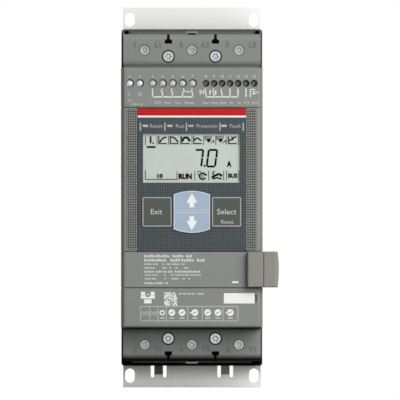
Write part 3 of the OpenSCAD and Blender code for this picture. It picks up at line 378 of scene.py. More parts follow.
def moulded(name, colour, roughness, grain=0.45, edge=0.4, wear=1.12, spread=0.035, crevice=1.2):
    """Injection-moulded plastic: eroded grain, slight clouds, rubbed edges, and painted shade in its narrow
    gaps.
    """
    cloud_size, gloss_size, gloss_spread, gap_shade, depth = 22, 6, 0.05, 0.3, 0.02
    material = finish(name, colour, roughness)
    normal = rounded_normal(material, edge)
    clouds = ranged(material, noise(material, cloud_size), *MIDDLE_NOISE)
    cloudy = blend_colours(material, clouds, scaled(colour, 1 - spread), scaled(colour, 1 + spread))
    rubbed = blend_colours(material, edge_share(material, normal), cloudy, scaled(colour, wear))
    # Painted shade: narrow gaps and recesses darken towards a share of the colour, by ambient occlusion.
    paint(material, blend_colours(material, openness(material, crevice), scaled(colour, gap_shade), rubbed))
    polish(material, ranged(material, noise(material, gloss_size), *MIDDLE_NOISE,
                            roughness - gloss_spread, roughness + gloss_spread))
    bump(material, noise(material, grain, 2), depth, normal)
    return material


def metal(name, colour, roughness, streak=(1, 1, 1), spread=0.06, depth=0.01, crevice=1.5, metallic=1.0,
          gloss_spread=0.08):
    """Metal with fine marks, drawn out along the axes that have a small share, and painted shade in its
    crevices.
    """
    mark_size, gap_shade, edge = 1.2, 0.12, 0.25
    material = finish(name, colour, roughness, metallic)
    normal = rounded_normal(material, edge)
    stretch = node(material, "ShaderNodeMapping")
    stretch.inputs["Scale"].default_value = streak
    link(material, object_place(material), stretch.inputs["Vector"])
    marks = node(material, "ShaderNodeTexNoise")
    marks.inputs["Scale"].default_value = 1 / (mark_size * MM)
    marks.inputs["Detail"].default_value = 4
    link(material, stretch.outputs["Vector"], marks.inputs["Vector"])
    share = ranged(material, marks.outputs["Fac"], *MIDDLE_NOISE)
    tone = blend_colours(material, share, scaled(colour, 1 - spread), scaled(colour, 1 + spread))
    # Painted shade: crevices darken towards a share of the colour, by ambient occlusion.
    paint(material, blend_colours(material, openness(material, crevice), scaled(colour, gap_shade), tone))
    polish(material, ranged(material, marks.outputs["Fac"], *MIDDLE_NOISE,
                            roughness - gloss_spread, roughness + gloss_spread))
    bump(material, marks.outputs["Fac"], depth, normal)
    return material


def printed(name, colour, gloss=PLAIN_GLOSS):
    """Screen-printed ink, a little uneven in its cover."""
    fade, blot_size, thin, full = 0.06, 1.5, 0.35, 0.7
    material = finish(name, colour, 0.5)
    shader_of(material).inputs["Specular IOR Level"].default_value = gloss
    cover = ranged(material, noise(material, blot_size), thin, full)
    paint(material, blend_colours(material, cover, scaled(colour, 1 - fade), colour))
    return material


def body_plastic():
    """The front block's grey: painted shade along the side edges of its face, and painted light in the groove
    beside the print.
    """
    material = moulded("moulded_body_grey", srgb(134, 137, 131), 0.55)
    on_face = along(material, "Y", FACE / MM + 1.0, FACE / MM + 0.8)
    for rise, fall in (((-43.2, -43.3), (-43.9, -43.8)), ((43.5, 43.6), (44.1, 44.0))):
        # Painted shade: darker lines along the face's side edges, where the rounded edges turn into shade.
        painted_shade_edge = band(material, "X", rise, fall)
        overlay(material, times(material, painted_shade_edge, on_face), srgb(100, 102, 98))
    # Painted light: the groove beside the print is lightened, so that it shows less shade.
    painted_light_seam = band(material, "X", (-35.2, -35.0), (-34.0, -34.2))
    beside_print = band(material, "Z", (-35.0, -35.6), (-58.0, -57.4))
    overlay(material, times(material, painted_light_seam, beside_print), srgb(144, 147, 141))
    return material


def cover_plastic():
    """The covers' grey, with painted shade along the lower cover's outer edge."""
    material = moulded("moulded_cover_grey", srgb(138, 140, 136), 0.5, wear=1.04)
    shader_of(material).inputs["Specular IOR Level"].default_value = 0.08
    # Painted shade: near black along the lower cover's outer edge, which turns down away from the light.
    shaded_outer_edge = band(material, "Z", (-99.3, -102.8), (-104.3, -104.0))
    overlay(material, shaded_outer_edge, srgb(6, 6, 6))
    return material


def plug_plastic():
    """The plug's warmer grey, with painted shade along its lower edge."""
    material = moulded("moulded_plug_grey", srgb(137, 137, 129), 0.5, edge=0.35, wear=1.06, crevice=0.5)
    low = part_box("fieldbus_plug")[0].z / MM
    # Painted shade: dark along the plug's rounded lower edge.
    overlay(material, along(material, "Z", low + 0.8, low + 0.2), srgb(40, 40, 37))
    return material


def block_plastic():
    return moulded("terminal_block_dark", srgb(88, 90, 87), 0.5)


def black_plastic():
    return moulded("black_glass_filled", srgb(38, 38, 40), 0.45, wear=1.5)


def sensor_plastic():
    return moulded("sensor_blue", srgb(41, 51, 87), 0.4)


def relay_plastic():
    return moulded("relay_white", srgb(214, 216, 212), 0.4)


def ribbon_plastic():
    """Flat cable: one groove between each two wires."""
    wire_pitch, groove_depth = 1.27, 0.3
    material = moulded("ribbon_grey", srgb(200, 200, 198), 0.45)
    bump(material, stripes(material, "X", wire_pitch), groove_depth)
    return material


def board_laminate():
    """Circuit board: solder mask over faint copper tracks."""
    track_pitch, track_rise = 4.5, 0.03
    material = finish("board_green", srgb(26, 88, 54), 0.35)
    tracks = node(material, "ShaderNodeTexVoronoi")
    tracks.distance = "MANHATTAN"
    tracks.feature = "F1"
    tracks.inputs["Scale"].default_value = 1 / (track_pitch * MM)
    link(material, object_place(material), tracks.inputs["Vector"])
    lines = ranged(material, tracks.outputs["Distance"], 0.3, 0.34)
    paint(material, blend_colours(material, lines, srgb(33, 104, 62), srgb(24, 82, 50)))
    bump(material, lines, track_rise)
    return material


def rear_plastic():
    """The rear housing's darker plastic, with painted shade on the rim at its lower end."""
    material = moulded("moulded_rear_grey", srgb(91, 92, 89), 0.7)
    shader_of(material).inputs["Specular IOR Level"].default_value = 0.06
    # Painted shade: near black on the front of the lower rim, which lies in the covers' shade.
    rim = times(material, along(material, "Z", -100, -104), along(material, "Y", -117.0, -117.8))
    overlay(material, rim, srgb(12, 13, 12))
    return material


def plate_steel():
    """Galvanised sheet, with painted shade just below the housing's lower end."""
    material = metal("plate_galvanised", srgb(238, 238, 237), 0.22, streak=(1, 1, 0.08), spread=0.012,
                     depth=0.0006, metallic=0.7, gloss_spread=0.02)
    # Painted shadow: the housing's shadow on the plate, darkest just below its lower end and fading downwards.
    painted_body_shadow = band(material, "Z", (-118.5, -107.0), (-95.0, -106.5))
    overlay(material, painted_body_shadow, srgb(146, 146, 144))
    return material


def screw_zinc():
    return metal("screw_bright_zinc", srgb(222, 223, 224), 0.34, crevice=0.2, metallic=0.5)


def relay_screw_steel():
    return metal("screw_grey_steel", srgb(196, 196, 195), 0.42, crevice=0.2, metallic=0.45)


def input_screw_steel():
    return metal("screw_blackened", srgb(206, 206, 202), 0.5, crevice=0.3, metallic=0.3)


def cover_screw_steel():
    return metal("screw_nickel", srgb(184, 186, 186), 0.26, crevice=1.1)


def clamp_screw_steel():
    return metal("screw_phosphated", srgb(163, 165, 161), 0.28, crevice=0.7)


def clamp_zinc():
    return metal("clamp_tinned", srgb(196, 198, 200), 0.38)


def sink_aluminium():
    return metal("sink_extruded", srgb(196, 198, 201), 0.42, streak=(1, 1, 0.04))


def busbar_copper():
    return metal("busbar_copper", srgb(198, 128, 88), 0.34, streak=(1, 1, 0.06))


def panel_plastic():
    """Dark foil with a fine woven grid."""
    thread_pitch, thread_rise, edge = 1.54, 0.02, 0.2
    low, high = srgb(52, 60, 63), srgb(90, 97, 100)
    material = finish("panel_foil", low, 0.48)
    weave = times(material, stripes(material, "X", thread_pitch), stripes(material, "Z", thread_pitch))
    paint(material, blend_colours(material, weave, low, high))
    bump(material, weave, thread_rise, rounded_normal(material, edge))
    return material


def strip_red():
    return moulded("strip_red", srgb(187, 10, 14), 0.4, edge=0.1, wear=1.0)


def tag_white():
    return moulded("tag_white", srgb(242, 242, 240), 0.5, edge=0.15, wear=1.0, spread=0.01)


def lcd_frame():
    """The display's reflector: pale grey-green, faintly clouded."""
    colour = srgb(199, 206, 199)
    material = finish("lcd_reflector", colour, 0.6)
    clouds = ranged(material, noise(material, 4, 2), *MIDDLE_NOISE)
    paint(material, blend_colours(material, clouds, scaled(colour, 0.985), scaled(colour, 1.01)))
    return material


def window_clear():
    """Clear window, hard-coated, faintly scuffed."""
    material = finish("window_clear", srgb(196, 203, 197), 0.12)
    shader_of(material).inputs["Alpha"].default_value = 0.015
    shader_of(material).inputs["Specular IOR Level"].default_value = 0.05
    scuff_size, smooth, scuffed = 9, 0.08, 0.2
    polish(material, ranged(material, noise(material, scuff_size), 0.35, 0.75, smooth, scuffed))
    return material


def light_clear():
    """Light pipes, unlit: milky at their ends, the third one greener."""
    material = finish("light_pipe", srgb(222, 218, 198), 0.25)
    shader_of(material).inputs["Transmission Weight"].default_value = 0.25
    milk = ranged(material, noise(material, 1.2), *MIDDLE_NOISE)
    amber = blend_colours(material, milk, srgb(208, 203, 182), srgb(234, 231, 213))
    third = band(material, "X", (-8, -7), (10, 9))
    paint(material, blend_colours(material, third, amber, srgb(190, 200, 172)))
    return material


def key_dark():
    return moulded("key_olive_grey", srgb(77, 82, 76), 0.5, edge=0.25)


def key_blue():
    return moulded("key_pale_blue", srgb(163, 180, 199), 0.42, edge=0.25, wear=1.05)


FINISH_OF_SLOT = {
    make.__name__: make() for make in (
        body_plastic, cover_plastic, plug_plastic, block_plastic, black_plastic, sensor_plastic,
        relay_plastic, ribbon_plastic, board_laminate, plate_steel, screw_zinc, clamp_zinc, sink_aluminium,
        busbar_copper, panel_plastic, strip_red, tag_white, lcd_frame, window_clear, light_clear, key_dark,
        key_blue)
}
FINISH_OF_SOLID = {
    "base_housing": rear_plastic(),
    "relay_terminal_screws": relay_screw_steel(),
    "input_terminal_screws": input_screw_steel(),
    "clamp_screws": clamp_screw_steel(),
    "cover_screws": cover_screw_steel(),
}
WHITE_INK = printed("ink_white", srgb(244, 245, 242))
GREY_INK = printed("ink_grey", srgb(196, 199, 194))
SIGN_INK = printed("ink_soft_white", srgb(228, 230, 226))
PRINT_INK = printed("ink_pale_grey", srgb(212, 214, 210))
PANEL_INK = printed("ink_panel_grey", srgb(168, 174, 178))
KEY_INK = printed("ink_key_words", srgb(208, 211, 202))
RIM_INK = printed("ink_key_rim", srgb(168, 173, 168))
PALE_RIM_INK = printed("ink_arrow_rim", srgb(206, 215, 226))
LCD_INK = printed("lcd_segment", srgb(12, 14, 13), gloss=0.02)
LCD_PALE_INK = printed("lcd_idle_segment", srgb(78, 84, 80), gloss=0.02)
SLOT_INK = printed("ink_body_grey", srgb(128, 131, 126))
# Painted light: pale grey of the strips in the rims' grooves, standing in for the grooves' lit walls.
LIT_GROOVE_GREY = moulded("rim_rubber", srgb(130, 131, 128), 0.6, grain=0.2)
TONGUE_GREY = printed("tongue_grey", srgb(106, 108, 104))
COLLAR_GREY = moulded("collar_grey", srgb(138, 140, 136), 0.5, crevice=0.1)


def dress_solids():
    for name, solid in frame["nodes"].items():
        slot = solid.material_slots[0]
        slot.material = FINISH_OF_SOLID.get(name) or FINISH_OF_SLOT[slot.material.name.split(".")[0]]


# Front face: grip fields beside the panel

GRIP_TOP, GRIP_LOW = 56.2, -33.2
GRIP_STEP = (1.42, 1.6)     # across and down
GRIP_COLUMNS = 5
GRIP_ROWS = 56
GRIP_MARGIN = 0.4           # by which the ground is narrower than its columns
GRIP_CORNER = 0.5
DOT_SIZE, DOT_RISE, DOT_TAPER = 0.95, 0.35, 0.6
GRIP_GROUND = printed("grip_ground", srgb(86, 88, 84))
GRIP_PLASTIC = moulded("grip_pale_grey", srgb(166, 168, 162), 0.55, grain=0.2)


def grip_field(middle, name):
    """Darker ground that the grip dots stand on."""
    width = GRIP_COLUMNS * GRIP_STEP[0] - GRIP_MARGIN
    start_mesh(bpy.ops.mesh.primitive_plane_add, size=width * MM, rotation=UPRIGHT,
               location=(middle * MM, FACE, (GRIP_TOP + GRIP_LOW) / 2 * MM))
    bpy.ops.transform.resize(value=(1, 1, (GRIP_TOP - GRIP_LOW) / width))
    bpy.ops.mesh.bevel(offset=GRIP_CORNER * MM, segments=3, affect="VERTICES")
    raise_by(INK / 2)
    return as_piece(close_mesh(), name, "housing", GRIP_GROUND)


def grip_dots(middle, name):
    """One blunt little pyramid, set in rows and columns."""
    first = (middle - (GRIP_COLUMNS - 1) / 2 * GRIP_STEP[0], GRIP_TOP - GRIP_STEP[1] / 2)
    dot = start_mesh(bpy.ops.mesh.primitive_plane_add, size=DOT_SIZE * MM, rotation=UPRIGHT,
                     location=(first[0] * MM, FACE, first[1] * MM))
    raise_by(DOT_RISE)
    bpy.ops.transform.resize(value=(DOT_TAPER, 1, DOT_TAPER))
    close_mesh()
    for count, step in ((GRIP_COLUMNS, (GRIP_STEP[0], 0, 0)), (GRIP_ROWS, (0, 0, -GRIP_STEP[1]))):
        row = dot.modifiers.new("row", "ARRAY")
        row.use_relative_offset = False
        row.use_constant_offset = True
        row.constant_offset_displace = [value * MM for value in step]
        row.count = count
        bpy.ops.object.modifier_apply(modifier=row.name)
    return as_piece(dot, name, "housing", GRIP_PLASTIC)


# Front face: printing and collars round the control terminals

SUPPLY_XS = (-39.5, -33.15)
RELAY_XS = tuple(-24.95 + 6.35 * i for i in range(5))
INPUT_XS = tuple(9.02 + 5.08 * i for i in range(7))
SIGN_LOW, SIGN_TOP = 63.9, 69.2     # lowest and highest line of the circuit signs


def terminal_numbers():
    base, height = 75.9, 2.0
    xs = SUPPLY_XS + RELAY_XS + INPUT_XS
    numbers = [word(str(i + 1), x, base, height, FACE, bold=0.03) for i, x in enumerate(xs)]
    return as_piece(joined(numbers), "terminal_numbers", "housing", GREY_INK)


def screw_collars():
    """Rings of the terminal blocks that close the gap round the wide screws."""
    screw_z, radius, width, rise = 72.5, 2.75, 0.36, 0.9
    seat = FACE + 1.6 * MM
    rings = [ring(x, screw_z, radius, width, seat, rise) for x in SUPPLY_XS + RELAY_XS]
    return as_piece(joined(rings), "screw_collars", "housing", COLLAR_GREY)


def stem(x):
    return [(x, SIGN_TOP, x, SIGN_LOW, 0.8)]


def rail(first, last):
    """The line that joins the feet of several signs."""
    overhang = 0.4
    return [(first - overhang, SIGN_LOW, last + overhang, SIGN_LOW, 0.85)]


def contact(x, lean):
    """A make contact: a stem, an open blade and its lead."""
    hinge, tip = 66.2, 68.4
    lead = x + lean * 0.4
    blade = path([(x, SIGN_LOW), (x, hinge), (x + lean, tip)], 0.75)
    return blade + [(lead, tip + 0.2, lead, tip + 1.0, 0.6)]


def contact_signs():
    """Circuit signs between the control terminals and their words."""
    lines = stem(RELAY_XS[0]) + rail(RELAY_XS[0], RELAY_XS[4])
    for x, lean in zip(RELAY_XS[1:], (-0.9, -0.9, 1.3, -0.8)):
        lines += contact(x, lean)
    lines += [(RELAY_XS[3] + 1.6, 67.2, RELAY_XS[4] - 1.6, 67.2, 0.6)]
    lines += rail(INPUT_XS[0], INPUT_XS[4])
    for x in INPUT_XS[:3]:
        lines += contact(x, -0.8)
    for x in INPUT_XS[3:6]:
        lines += stem(x)
    push_button = [(5.4, 68.4, 5.4, 65.4, 0.9), (5.4, 66.9, 7.2, 66.9, 0.7), (7.4, 68.2, 7.4, 65.6, 0.6)]
    push_plates = [(11.6, 68.2, 11.6, 65.4, 0.9), (15.2, 68.2, 15.2, 65.4, 0.9)]
    supply = path([(37.2, 63.7), (37.2, 68.6), (40.2, 68.6)], 0.75)
    supply += [(38.8, 67.0, 42.2, 67.0, 1.0), (38.8, 65.8, 41.4, 66.8, 1.1)]
    signs = bars(lines + push_button + push_plates + supply, FACE)
    return as_piece(signs, "contact_signs", "housing", SIGN_INK)


def terminal_words():
    """Function words below the signs, and the supply's letters."""
    base, height = 59.4, 1.7
    letter_base, letter_height = 64.6, 2.2
    words = [word(text, x, base, height, FACE, width) for text, x, width in (
        ("COM", -21.8, 4.6), ("Run", -15.3, 3.6), ("Top", -9.0, 3.4), ("Fault", -1.6, 5.6),
        ("Start", 9.0, 4.6), ("Stop", 14.6, 4.4), ("Slow", 19.9, 4.2), ("In", 25.2, 1.9), ("In", 30.2, 1.9),
        ("0 V", 34.9, 3.2), ("24 V", 40.2, 4.2))]
    words += [word(text, x, letter_base, letter_height, FACE) for text, x in zip("LN", SUPPLY_XS)]
    words += [word("AC", -39.4, 60.9, 1.5, FACE), word("50/60 Hz", -34.9, 58.6, 1.4, FACE, 7.6)]
    return as_piece(joined(words), "terminal_words", "housing", PRINT_INK)


# Panel: lines under the red strip, words beside the status lights

STRIP_LOW, STRIP_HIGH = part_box("header_strip")


def below_strip(gap, width):
    """A line along the strip's lower edge, its middle that far below it."""
    z = STRIP_LOW.z / MM - gap
    return bars([(STRIP_LOW.x / MM, z, STRIP_HIGH.x / MM, z, width)], FACE)


def strip_edge():
    edge = below_strip(gap=0.4, width=0.8)
    return as_piece(edge, "strip_edge", "housing", FINISH_OF_SLOT["strip_red"])


def strip_underline():
    line = below_strip(gap=1.45, width=1.2)
    return as_piece(line, "strip_underline", "housing", WHITE_INK)


def status_bars():
    low, high, width = 42.3, 47.5, 0.85
    lines = [(x, low, x, high, width) for x in (-32.7, -17.1, -3.4, 17.9, 32.7)]
    return as_piece(bars(lines, FACE), "status_bars", "housing", PANEL_INK)


def status_words():
    base, height = 44.4, 2.2
    words = [word(text, x, base, height, FACE, width, bold=0.02) for text, x, width in (
        ("Ready", -22.6, 8.4), ("Run", -7.5, 5.4), ("Protection", 9.6, 13.2), ("Fault", 27.6, 7.0))]
    return as_piece(joined(words), "status_words", "housing", PANEL_INK)


# Display

def lcd_cells():
    """Thin frames of the upper and lower rows of signs."""
    width, frame_width = 0.5, 0.6
    upper_row, lower_row = (33.4, 39.4), (10.8, 17.0)
    upper_xs = (-29.5, -22.1, -14.8, -7.2, 0.1, 7.5, 15.2, 22.3, 29.7)
    lower_xs = (1.9, 10.7, 20.2, 22.1, 29.9)
    lines = [(x, upper_row[0], x, upper_row[1], width) for x in upper_xs]
    lines += path([(-29.5, 17.4), (-29.5, 11.5), (-9.4, 11.5)], frame_width)
    lines += [(-9.4, 11.2, -9.4, 16.6, frame_width)]
    lines += [(x, lower_row[0], x, lower_row[1], width) for x in lower_xs]
    return as_piece(bars(lines, LCD_FACE), "lcd_cells", "housing", LCD_PALE_INK)


def graph(x, curve, width):
    """A little graph: its two axes and the curve between them."""
    low, high, length = 34.2, 38.9, 5.2
    axes = path([(x, high), (x, low), (x + length, low)], 0.75)
    return axes + path([(x + a, z) for a, z in curve], width)


def load_sign(x):
    """A hatched band over a black wedge."""
    hatch = [(x, z, x + 4.6, z, 0.3) for z in (39.0, 38.4, 37.8)] + [(x, 39.1, x, 36.2, 0.5)]
    wedge = []
    for i in range(4):
        z, taper = 37.1 - i * 0.55, i * 0.3
        wedge.append((x + 0.7 + taper, z, x + 4.0 - taper, z, 0.6))
    return hatch + wedge + path([(x + 3.6, 34.4), (x + 5.6, 36.6), (x + 5.6, 34.4)], 0.5)


def lcd_icons():
    """Signs of the ramps and limits that can be set, with a bar under the chosen one."""
    lines = [(-26.2, 34.4, -26.2, 39.0, 1.15), (-25.1, 34.6, -24.1, 34.6, 1.0)]
    lines += [(-28.7, 32.05, -23.0, 32.05, 1.25)]
    lines += graph(-21.0, [(0.6, 34.9), (1.6, 36.7), (3.2, 37.9), (4.9, 38.4)], 1.0)
    lines += graph(-13.7, [(0.4, 38.5), (2.2, 38.1), (3.7, 36.9), (5.0, 35.0)], 1.0)
    lines += graph(-6.4, [(0.3, 35.6), (0.9, 37.4), (2.6, 38.4), (4.4, 37.4), (5.0, 35.6)], 1.6)
    lines += graph(1.2, [(0.4, 36.2), (1.4, 37.6), (2.8, 37.8), (3.8, 36.6), (5.0, 36.2)], 1.0)
    lines += load_sign(8.4) + load_sign(15.9)
    lines += graph(23.4, [(0.3, 36.2), (1.8, 36.7), (3.0, 38.0), (4.9, 38.6)], 1.0)
    lines += [(25.2, 38.8, 26.2, 36.4, 0.8)]
    return as_piece(bars(lines, LCD_FACE), "lcd_icons", "housing", LCD_INK)


def lcd_digits():
    """Two slanting seven-segment figures with their point."""
    seven = [(2.5, 30.2, 7.2, 30.2), (7.3, 30.2, 6.7, 25.4), (6.6, 25.0, 6.0, 19.8)]
    zero = [(11.0, 30.2, 15.9, 30.2), (16.1, 30.1, 15.6, 25.4), (15.4, 25.0, 14.8, 19.9),
            (14.6, 19.7, 9.7, 19.7), (9.5, 19.8, 10.1, 25.0), (10.2, 25.4, 10.8, 30.1)]
    point = [(7.6, 20.0, 8.7, 20.0, 1.2)]
    segment_width = 1.3
    lines = [(*ends, segment_width) for ends in seven + zero]
    return as_piece(bars(lines + point, LCD_FACE), "lcd_digits", "housing", LCD_INK)


def lcd_words():
    """The display's unit and words, and two signs of turning and levering."""
    words = [word(text, x, base, height, LCD_FACE, width, bold) for text, x, base, height, width, bold in (
        ("A", 23.7, 19.7, 3.2, 3.2, 0.35), ("10", -20.6, 12.6, 2.3, 3.6, 0.22),
        ("RUN", -4.2, 11.9, 3.1, 8.6, 0.32), ("BUS", 26.0, 12.6, 2.5, 6.0, 0.22))]
    turn = path(arc(6.9, 13.5, 2.0, 20, 330, 14), 1.2) + path(arc(7.1, 13.5, 0.7, 60, 300, 8), 0.6)
    turn += [(7.9, 14.4, 9.6, 14.4, 1.1), (3.4, 16.4, 6.0, 16.4, 0.6), (3.6, 15.2, 4.8, 13.8, 0.6)]
    lever = path([(12.6, 12.4), (14.8, 14.0), (17.4, 15.0), (19.2, 13.6)], 1.5)
    lever += path(arc(14.6, 15.2, 1.3, 90, 300), 0.9)
    lever += path([(13.4, 11.7), (16.0, 12.6), (18.9, 11.8)], 1.0)
    parts = words + [bars(turn + lever, LCD_FACE)]
    return as_piece(joined(parts), "lcd_words", "housing", LCD_INK)


# Keys: rims, words and arrows ride on their own key

KEY_WORD_BASE, KEY_WORD_HEIGHT = -10.7, 3.5


def key_rim(key, material):
    width, rise = 0.7, 0.12
    front_face_of(key)
    rim = hollow_out(width, rise)
    return as_piece(rim, key + "_rim", key, material)


def exit_word():
    letters = word("Exit", -22.6, KEY_WORD_BASE, KEY_WORD_HEIGHT, KEY_FACE, 7.1)
    return as_piece(letters, "exit_word", "exit_key", KEY_INK)


def select_word():
    letters = word("Select", 22.1, KEY_WORD_BASE, KEY_WORD_HEIGHT, KEY_FACE, 12.2)
    return as_piece(letters, "select_word", "select_key", KEY_INK)


def reset_word():
    letters = word("Reset", 22.4, -16.6, 2.4, KEY_FACE, 7.8)
    return as_piece(letters, "reset_word", "select_key", GREY_INK)


def arrow(key, side):
    """Broad arrow that points away from the gap between the two keys."""
    gap, to_head, to_shaft, head_radius, shaft_size = -9.1, 7.8, 4.3, 4.0, 3.0
    head = (0, KEY_FACE, (gap + side * to_head) * MM)
    start_mesh(bpy.ops.mesh.primitive_circle_add, vertices=3, radius=head_radius * MM, fill_type="NGON",
               location=head, rotation=(math.pi / 2, 0 if side > 0 else math.pi, 0))
    raise_by(INK)
    shaft = (0, KEY_FACE, (gap + side * to_shaft) * MM)
    bpy.ops.mesh.primitive_plane_add(size=shaft_size * MM, location=shaft, rotation=UPRIGHT)
    raise_by(INK)
    return as_piece(close_mesh(), key.replace("key", "arrow"), key, WHITE_INK)


# Lower part of the front face: neutral print, in rows of a middle, a height and the two ends of each word

PRINT_ROWS = (
    (-37.2, 1.7, ((-30.4, -14.2), (-12.4, -5.2), (-3.8, 0.1))),
    (-39.8, 1.8, ((-30.4, -16.4), (-13.8, -7.4), (-6.8, 1.4), (3.0, 8.2))),
    (-42.3, 1.0, ((-30.3, -25.6), (-25.0, -21.4), (-18.9, -17.6), (-16.2, -13.8), (-13.2, -7.8),
                  (-6.8, -4.6))),
    (-44.7, 1.1, ((-30.3, -27.0), (-26.5, -23.6), (-18.6, -16.2), (-14.2, -13.0), (-10.6, -9.2),
                  (-5.0, -2.2))),
    (-47.1, 1.3, ((-30.2, -24.0), (-23.0, -18.9), (-18.2, -15.9), (-15.3, -12.4), (-11.0, 5.4))),
    (-49.2, 0.9, ((-30.0, -25.8), (-25.2, -21.6), (-17.6, -16.4), (-13.4, -11.2), (-10.4, -1.6),
                  (-0.8, 5.8))),
    (-51.6, 1.0, ((-30.0, -26.4), (-25.7, -22.8), (-17.4, -16.2), (-12.8, -8.2), (-6.0, -4.4),
                  (-2.2, -1.0))),
    (-54.4, 1.3, ((-30.2, -24.2), (-23.7, -18.0), (-16.8, -15.2))),
)


def blocks(left, right, z, height):
    """A word of small upright blocks, some as low as small letters."""
    pitch, small_letter = 0.85, 0.72    # shares of the height
    block_width = 0.78                  # share of the step
    count = max(1, round((right - left) / (pitch * height)))
    step = (right - left) / count
    drawn = []
    for i in range(count):
        tall = height if i % 3 != 1 else small_letter * height
        x = left + (i + 0.5) * step
        drawn.append((x, z - height / 2, x, z - height / 2 + tall, block_width * step))
    return drawn


def print_rows():
    """Rows of blocks, like lines of small print."""
    lines = []
    for z, height, words in PRINT_ROWS:
        for left, right in words:
            lines += blocks(left, right, z, height)
    return as_piece(bars(lines, FACE), "print_rows", "housing", PRINT_INK)


def corner_bar():
    bar = bars([(25.6, -53.8, 29.6, -53.8, 1.1)], FACE)
    return as_piece(bar, "corner_bar", "housing", WHITE_INK)


def cover_sign():
    """Sign of a plug over its socket."""
    lines = [(-31.0, -59.9, -31.0, -62.0, 2.6), (-24.9, -59.9, -24.9, -62.0, 2.6),
             (-32.4, -63.2, -29.2, -63.2, 2.0), (-26.7, -63.2, -23.5, -63.2, 2.0),
             (-29.2, -63.7, -26.7, -63.7, 1.0), (-28.5, -61.6, -27.4, -61.6, 0.8),
             (-30.4, -66.0, -25.6, -66.0, 2.6)]
    return as_piece(bars(lines, FACE), "cover_sign", "housing", WHITE_INK)


def mottle(row, column):
    """A number from 0 to 1 for each cell, without order."""
    return math.sin(12.9898 * row + 78.233 * column) * 43758.5453 % 1


def index_square():
    """Pale square of mottled cells that hold nothing to read."""
    cells, width, left, top, filled = 11, 8.4, -17.6, -60.3, 0.62
    size = width / cells
    lines = []
    for row in range(cells):
        for column in range(cells):
            if mottle(row, column) < filled:
                x = left + column * size
                z = top - (row + 0.5) * size
                lines.append((x, z, x + size, z, size))
    return as_piece(bars(lines, FACE), "index_square", "housing", SIGN_INK)


def index_line():
    z, height = -61.2, 1.0
    words = ((-8.4, -6.2), (-5.7, -3.6), (-3.0, -0.8), (-0.2, 2.2), (3.4, 7.8))
    lines = [(left, z, right, z, height) for left, right in words]
    return as_piece(bars(lines, FACE), "index_line", "housing", GREY_INK)


DISC_XS = (-12.7, -6.2, 2.0, 10.1, 16.6, 24.4)
DISC_Z = -73.1
RING_X = -18.8


def screw_table():
    """Frame of the table that shows which driver fits which screw."""
    top, low, width = -69.2, -78.4, 0.45
    separators = (-32.5, -26.9, -21.6, -16.2, -2.6, 6.8, 19.8, 29.3)
    lines = [(separators[0], z, separators[-1], z, width) for z in (top, low)]
    lines += [(x, low, x, top, width) for x in separators]
    head_z, head_radius, socket_radius = -73.6, 1.9, 0.8
    for x in (-29.7, -24.2):
        for start in (125, -55):
            lines += path(arc(x, head_z, head_radius, start, start + 110), 0.4)
        lines += path(arc(x, head_z, socket_radius, 0, 360), 0.5)
    dash, dash_z = 1.6, -76.6
    lines += [(x - dash, dash_z, x + dash, dash_z, 0.9) for x in (RING_X, *DISC_XS)]
    return as_piece(bars(lines, FACE), "screw_table", "housing", GREY_INK)


def screw_discs():
    """Screw heads of the table: filled discs, one ring, and a dash between some of them."""
    heads = discs([(x, DISC_Z) for x in DISC_XS], radius=2.15, face=FACE)
    open_head = ring(RING_X, -73.2, radius=1.75, width=0.85, face=FACE)
    dashes = bars([(-1.2, -73.4, 0.2, -73.2, 0.8), (21.4, -73.4, 22.8, -73.2, 0.8)], FACE)
    return as_piece(joined([heads, open_head, dashes]), "screw_discs", "housing", WHITE_INK)


def disc_slots():
    """Slanting driver slot on each filled disc."""
    half_length, half_rise, width = 1.2, 0.6, 0.5
    lines = [(x - half_length, DISC_Z - half_rise, x + half_length, DISC_Z + half_rise, width) for x in DISC_XS]
    slots = bars(lines, FACE - INK * MM, INK / 2)
    return as_piece(slots, "disc_slots", "housing", SLOT_INK)


# Terminal covers: raised marks of the poles

def pole_marks(name, marks, base):
    height, rise = 3.4, 0.3
    xs = (-36.1, -21.1, -6.6, 8.9, 23.0, 38.8)
    letters = [word(text, x, base, height, COVER_FACE, thickness=rise) for text, x in zip(marks, xs)]
    return as_piece(joined(letters), name, "housing", FINISH_OF_SLOT["cover_plastic"])


# Ends of the housing: painted shade on the barrier slots' floors, painted light in the rims' grooves, the upper
# cover's tongue

COVER_EDGE = 104.0          # outer edge of a cover from the middle of the face
SLOT_X = 15.0               # middle of a barrier slot, between two poles
SLOT_FLOOR = COVER_FACE + 32 * MM
GROOVE_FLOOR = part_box("base_housing")[0].y + 1.25 * MM


def barrier_seats():
    """Black T on the floor of each barrier slot: painted shade, where the slot is dark inside."""
    neck, half_head, head_in, rise = 3.8, 2.25, 4.95, 0.3
    lines = []
    for end in (-1, 1):
        head_z = end * (COVER_EDGE - head_in)
        for x in (-SLOT_X, SLOT_X):
            lines += [(x, end * COVER_EDGE, x, end * (COVER_EDGE - neck), 1.6)]
            lines += [(x - half_head, head_z, x + half_head, head_z, 2.2)]
    # Painted shade: a black sheet on each slot's floor.
    seats = bars(lines, SLOT_FLOOR, rise)
    return as_piece(seats, "barrier_seats", "housing", FINISH_OF_SLOT["black_plastic"])


def rim_seal(name, end):
    """Pale strip in the groove of one end's rim: painted light, where the groove's sloping wall catches light
    from above.
    """
    half_length, width, rise, past_cover = 38.2, 0.6, 1.2, 1.05
    z = end * (COVER_EDGE + past_cover)
    strip = bars([(-half_length, z, half_length, z, width)], GROOVE_FLOOR, rise)
    return as_piece(strip, name, "housing", LIT_GROOVE_GREY)


